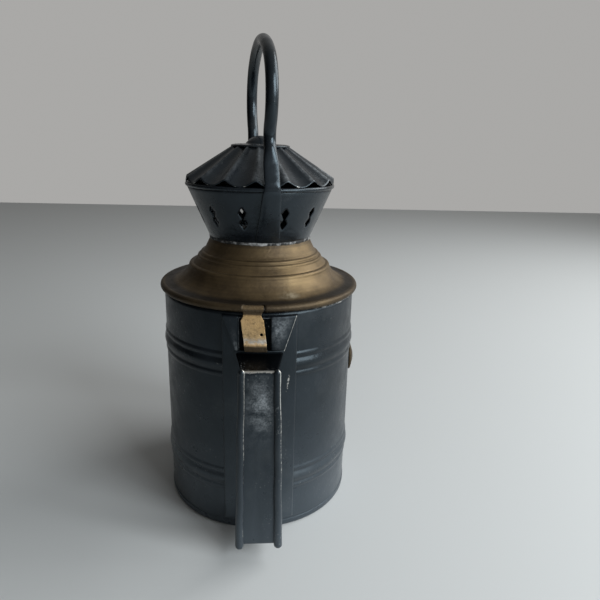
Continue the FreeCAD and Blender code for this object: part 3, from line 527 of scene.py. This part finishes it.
def roll(look, side):
    # a tube along the strip's edge whose radius falls to nothing in a quarter round at each end
    s = 0.5 + 0.5 * np.sin(np.linspace(-1, 1, 121) * np.pi / 2)[:, None]
    z = between(look["z0"], look["z1"], s)
    toEnd = np.minimum(z - look["z0"], look["z1"] - z) + look["over"]
    r = between(look["r0"], look["r1"], s)
    r = r * quarterRound(toEnd / r)
    x = side * between(grip["low"], grip["top"], s) + waveSum(z, look["waves"], side)
    t = circle(28)[None, :]
    points = np.stack(np.broadcast_arrays(x + r * np.cos(t), look["y"] + r * np.sin(t), z), -1)
    # the left roll is rubbed bright along its inner side; the same bright line along the right one's outer
    # side is a painted highlight; both are most at the top
    line = hill(np.cos(t) - look["rubAt"], look["rubWidth"]) * (np.sin(t) < look["rubBehind"])
    patchy = look["patchMid"] + waveSum(z, look["patchy"], side)
    upper = ramp(z, look["upperFrom"], look["upperBy"])
    rub = (look["rub"] + look["patchRub"] * patchy + look["upperRub"] * upper) * line
    return grid(points, wrapCols=True, wear=rub + look["endRub"] * fade(toEnd, look["endReach"]))


makePiece("gripRolls", [roll(rolls, -1), roll(rolls, 1)], "body", gripPaint)

flaps = dict(r=65.55, low=13.4, high=20.9, z0=121.4, z1=144.4, slotZ=124.2, slot=(-12.35, 6.55), sheet=1.05,
             footR=65.65, footHalf=11.3, footZ=(12.0, 26.0), rubReach=(0.5, 0.6), chalkReach=(0.45, 0.4),
             leftWear=dict(chalky=0.8, spot=(0.7, 0.0)), rightWear=dict(chalky=0.9, bright=(0.3, 0.85)))


def curvedSheet(r, x0, x1, z0, z1, cols=30, rows=28, chalky=0.0, spot=(0.35, 0.6), bright=(0.35, 0.35)):
    # a sheet on a circle of radius r between two side lines, each given low and high
    u, v = np.linspace(0, 1, cols)[None, :], np.linspace(0, 1, rows)[:, None]
    left, right = between(*x0, v), between(*x1, v)
    x = between(left, right, u)
    z = between(z0, z1, v) + 0 * u
    sides = zip(bright, (x - left, right - x), flaps["rubReach"])
    rub = sum(share * fade(away, reach) for share, away, reach in sides)
    chalk = chalky * hill(u - spot[0], flaps["chalkReach"][0]) * hill(v - spot[1], flaps["chalkReach"][1])
    return grid(np.stack([x, -np.sqrt(r ** 2 - x ** 2), z], -1), wear=rub - chalk)


def makeGripFlaps(look):
    # a band across, a flap on each side of the tongue's slot, and the low leg's foot
    r, low, high, z0, z1, slotZ = (look[key] for key in ("r", "low", "high", "z0", "z1", "slotZ"))
    middle = between(low, high, (slotZ - z0) / (z1 - z0))
    slotLeft, slotRight = ((x, x) for x in look["slot"])
    foot = look["footHalf"]
    sheets = [curvedSheet(r, (-low, -middle), (low, middle), z0, slotZ, 40, 4),
              curvedSheet(r, (-middle, -high), slotLeft, slotZ, z1, **look["leftWear"]),
              curvedSheet(r, slotRight, (middle, high), slotZ, z1, **look["rightWear"]),
              curvedSheet(look["footR"], (-foot, -foot), (foot, foot), *look["footZ"])]
    makePiece("gripFlaps", sheets, "body", gripPaint, (), look["sheet"], 0.0)


makeGripFlaps(flaps)
print("body pieces made")

# Hood: neck, ridged cone, hollow flare and rolled rim in one line
latchTurn = -3.6  # degrees
hood = dict(hole=(29.8, 178.2), neck=(32.4, 178.2), foot=(35.7, 171.4), waist=(43.6, 162.6),
            step=(46.3, 160.4), rim=(62.8, 150.55), roll=(62.8, 148.5), rollR=2.15, rollTo=(86, -215),
            sag=3.4, sheet=0.7, notch=6.3, ridges=(0.28, 0.53), ridgeHigh=0.62, ridgeHalf=1.25,
            dents=0.1, seed=12, brimR=54.5, brimBy=3.0, brimRagged=0.8, brimSeed=41,
            brimDark=0.82, rollGrime=0.45, neckGrime=0.35, neckFrom=176,
            pits=0.95, pitTurn=0.34, pitSpread=0.09, pitR=53.6, pitWidth=2.6)


def hoodLine(look):
    # straight runs between the named points: the cone bulges at two ridges, the step by a parabola, and the
    # flare hollows by a parabola below its chord
    foot, waist, step, rim = (np.array(look[key]) for key in ("foot", "waist", "step", "rim"))
    t, s, v = (np.linspace(0, 1, count)[:, None] for count in (60, 14, 40))
    length = np.hypot(*(waist - foot))
    d = (waist - foot) / length
    lift = sum(look["ridgeHigh"] * np.clip(1 - ((t - at) * length / look["ridgeHalf"]) ** 2, 0, None)
               for at in look["ridges"])
    cone = between(foot, waist, t) + np.array([-d[1], d[0]]) * lift
    ridge = between(waist, step, s) + look["ridgeHigh"] * 4 * s * (1 - s)
    chord = rim - step
    below = np.array([chord[1], -chord[0]]) / np.hypot(*chord)
    flare = step + chord * v + below * look["sag"] * 4 * v * (1 - v)
    top = finer([look["hole"], look["neck"], look["foot"]], 1.2)
    sheet = np.concatenate([top, cone[1:], ridge[1:], flare[1:-1]])
    return np.concatenate([sheet, bend(look["roll"], look["rollR"], *look["rollTo"], 40)]), len(sheet)


def makeHood(look):
    # the line carried round Z with a slight ripple, less a notch in the rolled rim for the tongue
    line, rollStart = hoodLine(look)
    r, z, row = line[:, :1], line[:, 1:2], np.arange(len(line))[:, None]
    angle = circle(300)[None, :]
    dents = look["dents"] * ripple(angle, z, look["seed"]) * (row < rollStart)
    points = around(r + dents, angle, z)
    away = (angle - np.radians(latchTurn) + np.pi) % tau - np.pi
    gap = (np.abs(away) * look["rim"][0] < look["notch"]) & (row[:-1] >= rollStart - 2)
    # a dark brim with a ragged edge, a dull roll, a dark neck and a pitted patch
    ragged = look["brimRagged"] * ripple(angle * 3, z, look["brimSeed"])
    brim = ramp(r + ragged, look["brimR"], look["brimBy"])
    darkening = np.where(row >= rollStart - 1, -look["rollGrime"], -look["brimDark"] * brim)
    darkening = darkening - look["neckGrime"] * (z > look["neckFrom"])
    pitted = hill(angle - look["pitTurn"], look["pitSpread"]) * hill(r - look["pitR"], look["pitWidth"])
    rub = darkening + look["pits"] * pitted
    makePiece("hoodSheet", [grid(points, wrapCols=True, keep=~gap, wear=rub)], "lid",
              hoodBrass, ("hood",), look["sheet"])


makeHood(hood)

# Collar: between two vents the wall runs from one vent's edge to the other's
collar = dict(z0=178.2, z1=212.2, r0=31.2, flare=14.7, ventZ=195.0, ventHalf=6.6, ventW=4.5, neckW=1.2,
              first=21.0, step=28.8, count=6, sheet=0.7, wire=1.35, ventRub=0.2, ventReach=0.02,
              ventLeast=0.1, wireRub=0.3, wireRubR=46.4)


def makeCollar(look):
    # a cone over height and angle, with vents shaped like two diamonds joined at a narrow neck
    z = np.unique(np.concatenate([np.linspace(look["z0"], look["z1"], 12),
                                  look["ventZ"] + look["ventHalf"] * np.linspace(-1, 1, 17)]))[:, None]
    r = look["r0"] + look["flare"] * (z - look["z0"]) / (look["z1"] - look["z0"])
    wide, narrow = look["ventW"] / 2, look["neckW"] / 2
    half = np.interp((z - look["ventZ"]) / look["ventHalf"], (-1, -0.5, 0, 0.5, 1),
                     (0, wide, narrow, wide, 0))
    vents = np.radians(np.array([look["first"] + look["step"] * k + far for far in (0, 180)
                                 for k in range(look["count"])]))
    share = np.linspace(0, 1, 15)[None, :]
    rub = look["ventRub"] * fade(share * (1 - share), look["ventReach"]) * (half > look["ventLeast"])
    walls = []
    for here, after in zip(vents, np.append(vents[1:], vents[0] + tau)):
        angle = between(here + half / r, after - half / r, share)
        walls.append(grid(around(r, angle, z), wear=rub))
    makePiece("collarWall", walls, "lid", capPaint, ("collar",), look["sheet"])
    # the wired rim is a ring
    wire = bend((look["r0"] + look["flare"], look["z1"]), look["wire"], 0, 342, 20)
    rub = look["wireRub"] * np.clip(wire[:, :1] - look["wireRubR"], 0, 1)
    makePiece("collarRim", [grid(spin(wire), True, True, wear=rub)], "lid", capPaint)


makeCollar(collar)

# Solder: a lumpy bead round the collar's foot
solder = dict(r=31.95, z=179.3, out=0.95, high=1.35, lumpOut=0.6,
              lumps=((0.3, 5, 40, 21), (0.22, 13, 10, 22)))


def makeSolder(look):
    # a ring whose section swells with ripples, each given as size, two rates and a seed
    t, angle = circle(14)[:, None], circle(260)[None, :]
    lump = sum(size * ripple(angle * rate, climb * t, seed) for size, rate, climb, seed in look["lumps"])
    r = look["r"] + (look["out"] + look["lumpOut"] * lump) * np.cos(t)
    z = look["z"] + (look["high"] + lump) * np.sin(t)
    makePiece("solderBead", [grid(around(r, angle, z), True, True)], "lid", solderGrey,
              ("collar_solder",))


makeSolder(solder)

# Fluted cap: height falls with radius and swings with the flutes, each a little different
cap = dict(r=46.8, topR=15.8, fadeR=16.5, z=215.4, slope=20.4 / 30.4, flutes=16, crest=19.25, soft=0.2,
           wave=1.65, waveTop=0.45, uneven=(-0.16, 0.1), seed=5, sheet=0.6, rimRub=0.42, rimReach=0.8,
           dust=0.45, dustSwing=0.3, dustFrom=0.2, dustBy=0.6, dustFade=0.3)


def makeCap(look):
    # the swing is 1 on a crest and -1 in a valley, by the softened size of the sine of half the phase
    rng = np.random.default_rng(look["seed"])
    angle = circle(640)[None, :]
    phase = look["flutes"] * (angle - np.radians(look["crest"]))
    which = np.floor(phase / tau + 0.5).astype(int) % look["flutes"]
    size = (1 + rng.uniform(*look["uneven"], look["flutes"]))[which]
    soft = look["soft"]
    dip = (np.sqrt(np.sin(phase / 2) ** 2 + soft ** 2) - soft) / (np.sqrt(1 + soft ** 2) - soft)
    swing = 1 - 2 * dip
    r = np.linspace(look["r"], look["topR"], 40)[:, None]
    share = (look["r"] - r) / (look["r"] - look["fadeR"])
    lift = between(look["wave"], look["waveTop"], share) * np.where(swing > 0, swing * size, swing)
    z = look["z"] + look["slope"] * (look["r"] - r) + lift
    dust = ramp(swing, look["dustFrom"], look["dustBy"]) * (look["dust"] + look["dustSwing"] * np.sin(angle))
    rub = look["rimRub"] * fade(look["r"] - r, look["rimReach"]) - dust * (1 - look["dustFade"] * share)
    makePiece("flutedCap", [grid(around(r, angle, z), wrapCols=True, wear=rub)], "lid",
              capPaint, ("fluted_cap",), look["sheet"], sharp=60)


makeCap(cap)

# Crown: a line along the underside, round the lip, up the brim and over the dome, carried round Z
crown = dict(under=((0, 235.4), (17.6, 234.6)), lip=(17.8, 235.3), lipR=0.7, lipTo=(-60, 78),
             brim=((17.0, 236.25), (13.5, 236.6), (9.6, 236.75)),
             dome=(0, 230.2), domeR=11.4, domeTo=(36, 90))
crownLine = np.concatenate([crown["under"], bend(crown["lip"], crown["lipR"], *crown["lipTo"], 10),
                            finer(crown["brim"], 1),
                            bend(crown["dome"], crown["domeR"], *crown["domeTo"], 22)])
makePiece("capCrown", [grid(spin(crownLine, 96), wrapCols=True)], "lid", capPaint,
          ("cap_crown",))

# Bail: a section that turns from round to flat, carried along the loop and down the collar
bail = dict(turn=8.0, rod=3.6, halfW=43.5, wideZ=263.0, sideR=27.0, meet=56.25, tuck=35.0, footR=12.0,
            splay=31.0, strap=((48.1, 214.9), (48.1, 210.5), (33.1, 180.7)), falls=(0, 8, 19.5, 24, 54),
            wide=(4.4, 4.4, 5.2, 7.25), thick=(1.7, 0.9, 0.85, 0.85), flatBy=8, flatPower=0.55,
            wrapBy=20, wrapFrom=5, rub=0.26, rubBy=30)


def bailLine(look):
    # half of the loop from its top: a top arc, a side arc, a foot arc and the strap, with how far each
    # point lies below the rod's end
    meet, tuck = np.radians(look["meet"]), np.radians(-look["tuck"])
    offset = look["halfW"] - look["sideR"]
    topR = look["sideR"] + offset / np.cos(meet)
    sideMid = np.array([offset, look["wideZ"]])
    topMid = sideMid - (topR - look["sideR"]) * np.array([np.cos(meet), np.sin(meet)])
    footMid = sideMid + (look["sideR"] + look["footR"]) * np.array([np.cos(tuck), np.sin(tuck)])
    rod = np.concatenate([bend(topMid, topR, 90, look["meet"], 40)[:-1],
                          bend(sideMid, look["sideR"], look["meet"], -look["tuck"], 50)[:-1],
                          bend(footMid, look["footR"], 180 - look["tuck"], 180 + look["splay"], 24)])
    loop = np.concatenate([rod, finer([rod[-1], *look["strap"]], 1.3)[1:]])
    onStrap = np.arange(len(loop)) >= len(rod)
    return loop, np.clip((rod[-1, 1] - loop[:, 1]) * onStrap, 0, None)


def makeBail(look):
    # cosine and sine of the section are raised to a power that flattens it, and lower down its width
    # wraps round Z
    loop, fall = bailLine(look)
    halfWide = np.interp(fall, look["falls"], (look["rod"], *look["wide"]))[:, None]
    halfThick = np.interp(fall, look["falls"], (look["rod"], *look["thick"]))[:, None]
    power = np.interp(fall, (0, look["flatBy"]), (1.0, look["flatPower"]))[:, None]
    tangent = np.gradient(loop, axis=0)
    tangent /= np.hypot(tangent[:, 0], tangent[:, 1])[:, None]
    t = circle(32)[None, :]
    across = halfWide * np.sign(np.cos(t)) * np.abs(np.cos(t)) ** power
    through = halfThick * np.sign(np.sin(t)) * np.abs(np.sin(t)) ** power
    out = loop[:, :1] - tangent[:, 1:] * through
    z = loop[:, 1:] + tangent[:, :1] * through
    wrap = np.clip(fall / look["wrapBy"], 0, 1)[:, None]
    wrapR = np.maximum(out, look["wrapFrom"])
    x = between(across, wrapR * np.sin(across / wrapR), wrap)
    out = between(out, wrapR * np.cos(across / wrapR), wrap)
    half = np.stack([x, -out, z], -1)
    half = np.concatenate([half, half[-1:].mean(1, keepdims=True) + 0 * half[-1:]])  # the foot is closed
    other = (half * np.array([-1, -1, 1]))[1:][:, (16 - np.arange(32)) % 32]
    points = turned(np.concatenate([half[::-1], other]), look["turn"])
    rub = np.append(look["rub"] * np.clip(fall / look["rubBy"], 0, 1), 0)
    rub = np.concatenate([rub[::-1], rub[1:]])[:, None]
    makePiece("bailLoop", [grid(points, wrapCols=True, wear=rub)], "lid", capPaint, ("bail",),
              sharp=50)


makeBail(bail)
print("lid pieces made")

# Latch tongue: a strip carried round the wire, down the plate and out at its lip
tongue = dict(turn=latchTurn, axis=(-62.452, 148.5), curl=1.38, curlTo=(-70, 180), sheet=0.8,
              blade=((-63.83, 148.2), (-63.83, 146.8), (-66.33, 145.1), (-66.33, 129.4), (-68.1, 127.7),
                     (-68.1, 124.7)),
              knuckle=6.2, neck=5.0, ease=0.3, wide=6.4, shoulderZ=142.6, neckZ=(144.6, 145.6, 146.4),
              knuckleZ=147.8, lean=2.2, warp=0.16, warpRate=2.2, warpFrom=144, warpBy=6,
              hole=(5.2, 134.4), holeR=0.9, holeMid=0.45,
              curlDark=-0.8, bendPale=1.2, bendZ=130.4, bendWidth=1.5,
              lipDark=0.95, lipZ=128.6, lipBy=1.0, rootDark=0.93, rootZ=145.0, rootBy=0.8)


def pierce(look, x, z, mayOpen):
    # the squares inside the hole go, and the corners round it move out to its circle
    offX, offZ = x - look["hole"][0], z - look["hole"][1]
    away = np.hypot(offX, offZ)
    middle = (away[:-1, :-1] + away[1:, :-1] + away[:-1, 1:] + away[1:, 1:]) / 4
    opened = (middle < look["holeR"]) & mayOpen
    corner = np.zeros(x.shape, bool)
    for i in (0, 1):
        for j in (0, 1):
            corner[i:i + opened.shape[0], j:j + opened.shape[1]] |= opened
    pull = np.where(corner & (away > look["holeMid"]), look["holeR"] / np.maximum(away, 0.1), 1)
    return look["hole"][0] + offX * pull, look["hole"][1] + offZ * pull, opened


def makeTongue(look):
    # the side view spread to a half width that changes with the height, leaning to one side and a
    # little warped
    curl = bend(look["axis"], look["curl"], *look["curlTo"], 30)
    line = np.concatenate([curl, finer(look["blade"], 0.28)])
    onCurl = np.arange(len(line))[:, None] < len(curl)
    low, shoulder = look["blade"][-1][1], look["shoulderZ"]
    z = line[:, 1:2]
    eased = look["neck"] + look["ease"]
    half = np.interp(z, (low, shoulder, *look["neckZ"], look["knuckleZ"]),
                     (look["wide"], look["wide"], eased, look["neck"], eased, look["knuckle"]))
    half = np.where(onCurl, look["knuckle"], half)
    shift = np.where(onCurl, 0, np.interp(z, (low, shoulder), (look["lean"], 0)))
    u = np.linspace(-1, 1, 57)[None, :]
    bow = np.where(onCurl, 0, np.clip((look["warpFrom"] - z) / look["warpBy"], 0, 1))
    y = line[:, :1] - look["warp"] * np.cos(u * look["warpRate"]) * bow
    x, up, opened = pierce(look, shift + u * half, z + 0 * u, ~onCurl[:-1])
    points = turned(np.stack([x, y, up], -1), look["turn"])
    # a pale band at the bend, dark at the lip and at the root
    band = look["bendPale"] * hill(z - look["bendZ"], look["bendWidth"])
    band = band - look["lipDark"] * np.clip((look["lipZ"] - z) / look["lipBy"], 0, 1)
    band = band - look["rootDark"] * ramp(z, look["rootZ"], look["rootBy"])
    band = np.where(onCurl, look["curlDark"], band)
    makePiece("latchTongue", [grid(points, keep=~opened, wear=band)], "hasp", tongueBrass,
              ("latch_tongue",), look["sheet"], 0.0, outward=False)


makeTongue(tongue)

# Knob on the right: a profile of radius and distance carried round its shaft
knob = dict(y=12.0, z=89.0, base=64.2, heel=(9.9, 64.7), heelR=0.5, edge=(9.8, 65.4), edgeR=0.6,
            edgeTo=(0, 70), dome=((9.6, 66.0), (7.2, 66.9), (4.2, 67.9), (1.5, 68.35), (0, 68.4)),
            darkening=-0.45)
knobLine = np.concatenate([[(0, knob["base"]), (knob["heel"][0], knob["base"])],
                           bend(knob["heel"], knob["heelR"], -90, 0, 6),
                           bend(knob["edge"], knob["edgeR"], *knob["edgeTo"], 6), finer(knob["dome"], 0.7)])
knobPoints = spinAlong(knobLine, "x", knob["y"], knob["z"])
# the knob is made a little darker all over
makePiece("signalKnob", [grid(knobPoints, wrapCols=True, wear=knob["darkening"])], "signal",
          hoodBrass, ("signal_knob",), sharp=55)


# Lens and its frame on the front: profiles of radius and distance carried round the lens's axis

def makeLensPiece(name, line, material, node, wear=0.0):
    points = spinAlong(line, "y", 0, can["lensZ"], 128)
    makePiece(name, [grid(points, wrapCols=True, wear=wear)], "body", material, (node,))


bezel = dict(inner=23.5, outer=29.4, back=54.5, sideFrom=54.6, lip=(28.7, 70.2), lipR=0.7,
             inLip=(26.6, 70.3), inLipR=0.6, seatR=26.0, seatY=65.0, rub=0.34, rubFrom=70.3)
bezelLine = np.concatenate([
    [(bezel["inner"], bezel["back"]), (bezel["outer"], bezel["back"])],
    finer([(bezel["outer"], bezel["sideFrom"]), (bezel["outer"], bezel["lip"][1])], 1.5),
    bend(bezel["lip"], bezel["lipR"], 0, 90, 6), bend(bezel["inLip"], bezel["inLipR"], 90, 180, 6),
    [(bezel["seatR"], bezel["seatY"]), (bezel["inner"], bezel["seatY"]), (bezel["inner"], bezel["back"])]])
makeLensPiece("lensBezel", bezelLine, paint, "lens_bezel",
              bezel["rub"] * (bezelLine[:, 1:2] > bezel["rubFrom"]))

lensRing = dict(inner=23.85, outer=25.95, back=68.05, lip=(25.2, 70.1), lipR=0.7, inLip=(24.5, 70.1),
                inLipR=0.65)
ringBack = (lensRing["inner"], lensRing["back"])
ringLine = np.concatenate([[ringBack, (lensRing["outer"], lensRing["back"])],
                           bend(lensRing["lip"], lensRing["lipR"], 0, 90, 6),
                           bend(lensRing["inLip"], lensRing["inLipR"], 90, 180, 6), [ringBack]])
makeLensPiece("lensRing", ringLine, hoodBrass, "lens_ring")

lens = dict(edge=((0, 65.05), (25.8, 65.05), (25.9, 65.2), (25.9, 67.9), (23.8, 67.98)),
            dome=(0, 36.6), domeR=39.35, domeTo=(53, 90))
lensLine = np.concatenate([lens["edge"], bend(lens["dome"], lens["domeR"], *lens["domeTo"], 40)])
makeLensPiece("frontLens", lensLine, clearGlass, "front_lens")

# Candle: a round stick with a soft shoulder, a hollow top and drips in the ripple of its upper side
candle = dict(y=-8.0, side=((0, 1.7), (9.9, 1.7), (9.9, 57.0)), shoulder=(8.4, 58.0), shoulderR=1.5,
              top=((7.8, 59.2), (2.0, 58.4), (0, 58.3)), drip=0.35, dripSpan=(-0.5, 0.2), dripR=9,
              dripFrom=28, dripLevel=20, seed=31)


def makeCandle(look):
    # a profile carried round Z, less the clipped ripple where it is the upper side
    line = np.concatenate([finer(look["side"], 2.5), bend(look["shoulder"], look["shoulderR"], 0, 90, 8),
                           finer(look["top"], 1)])
    r, z = line[:, :1], line[:, 1:2]
    angle = circle(72)[None, :]
    runs = ripple(angle * 3, look["dripLevel"], look["seed"])
    drip = look["drip"] * np.clip(runs, *look["dripSpan"])
    points = around(r + drip * ((z > look["dripFrom"]) & (r > look["dripR"])), angle, z)
    points[..., 1] += look["y"]
    makePiece("candleStick", [grid(points, wrapCols=True)], "body", wax, ("candle",), sharp=60)


makeCandle(candle)
print("front and inner pieces made")

# The CAD nodes that stay get the same finishes
kept = ((paint, ("body_hinge_leaf",)),
        (hoodBrass, ("hinge_rivet_left", "hinge_rivet_right", "hinge_pin", "lid_hinge_leaf", "shaft_bush",
                     "shaft_bearing", "glass_frame", "candle_socket")),
        (wireSteel, ("rim_wire", "latch_pin", "hood_skirt", "knob_shaft")),
        (tinSheet, ("candle_tray", "reflector_stud")),
        (silver, ("reflector",)),
        (char, ("wick",)),
        (redGlass, ("signal_glass",)))
for material, names in kept:
    for name in names:
        for matSlot in nodes[name].material_slots:
            matSlot.material = material

# Floor, light and camera
stageLook = dict(floor=(0.64, 0.655, 0.65), floorShade=0.985, floorRough=0.6, clouds=(6, 3, 0.55), size=1.6,
                 wall=(0.40, 0.395, 0.385), ambient=0.46, room=(0.0, 1.65), aim=(0, 0, 0.13))
floorMesh = bpy.data.meshes.new("floor")
w = stageLook["size"]
floorMesh.from_pydata([(-w, -w, 0), (w, -w, 0), (w, w, 0), (-w, w, 0)], [], [(0, 1, 2, 3)])
floor = bpy.data.objects.new("floor", floorMesh)
bpy.context.scene.collection.objects.link(floor)
floorMat, tree, shader, place = newFinish("paleFloor")
floorColour = mixColour(tree, noise(tree, place, *stageLook["clouds"]),
                        shaded(stageLook["floor"], stageLook["floorShade"]), stageLook["floor"])
tree.links.new(floorColour, shader.inputs["Base Color"])
shader.inputs["Roughness"].default_value = stageLook["floorRough"]
floorMesh.materials.append(floorMat)

world = bpy.data.worlds.new("studio")
bpy.context.scene.world = world
world.use_nodes = True
tree = world.node_tree
back = tree.nodes["Background"]
back.inputs["Color"].default_value = (*stageLook["wall"], 1)
path = addNode(tree, "ShaderNodeLightPath")
seen = calc(tree, "MAXIMUM", path.outputs["Is Camera Ray"], path.outputs["Is Transmission Ray"])
# the room is brighter on the window's side, which shows in the metal and in the soft shading
direction = addNode(tree, "ShaderNodeTexCoord").outputs["Generated"]
sideways = addNode(tree, "ShaderNodeSeparateXYZ", {0: direction}).outputs["X"]
room = span(tree, sideways, -1, 1, *stageLook["room"])
soft = span(tree, path.outputs["Is Glossy Ray"], 0, 1, stageLook["ambient"], 1.0)
unseen = times(tree, room, soft, calc(tree, "SUBTRACT", 1.0, seen))
tree.links.new(calc(tree, "ADD", unseen, seen), back.inputs["Strength"])


def placed(x, y, z, place):
    # a matrix from three axes and a place
    return Matrix([[x[i], y[i], z[i], place[i]] for i in range(3)] + [[0, 0, 0, 1]])


def softLamp(name, place, size, power, colour):
    lamp = bpy.data.lights.new(name, "AREA")
    lamp.shape = "RECTANGLE"
    lamp.size = lamp.size_y = size
    lamp.energy = power
    lamp.color = colour
    obj = bpy.data.objects.new(name, lamp)
    z = np.array(place) - np.array(stageLook["aim"])
    z = z / np.linalg.norm(z)
    x = np.cross((0, 0, 1), z)
    x = x / np.linalg.norm(x)
    obj.matrix_world = placed(x, np.cross(z, x), z, place)
    bpy.context.scene.collection.objects.link(obj)


softLamp("windowLight", place=(1.05, 0.2, 0.85), size=0.9, power=10.4, colour=(0.97, 0.99, 1.0))
softLamp("fillLight", place=(0.95, -0.85, 0.7), size=0.8, power=17.0, colour=(0.9, 0.96, 1.0))

# the place is in millimetres, the angles in radians and the focal length in pixels of the image
shot = dict(place=(0, -340.77, 239.42), pitch=0.29775, yaw=0.08064, roll=-0.02826, focalPixels=520,
            imagePixels=600, sensor=36, clip=0.01)
cp, sp = np.cos(shot["pitch"]), np.sin(shot["pitch"])
cy, sy = np.cos(shot["yaw"]), np.sin(shot["yaw"])
cr, sr = np.cos(shot["roll"]), np.sin(shot["roll"])
forward = np.array([sy * cp, cy * cp, -sp])
right = np.array([cy, -sy, 0])
down = np.cross(forward, right)
cameraData = bpy.data.cameras.new("photoCamera")
cameraData.sensor_width = shot["sensor"]
cameraData.lens = shot["sensor"] * shot["focalPixels"] / shot["imagePixels"]
cameraData.clip_start = shot["clip"]
camera = bpy.data.objects.new("photoCamera", cameraData)
camera.matrix_world = placed(cr * right + sr * down, sr * right - cr * down, -forward,
                             np.array(shot["place"]) * mm)
bpy.context.scene.collection.objects.link(camera)
bpy.context.scene.camera = camera
bpy.context.scene.view_settings.view_transform = "Standard"
print("stage set")
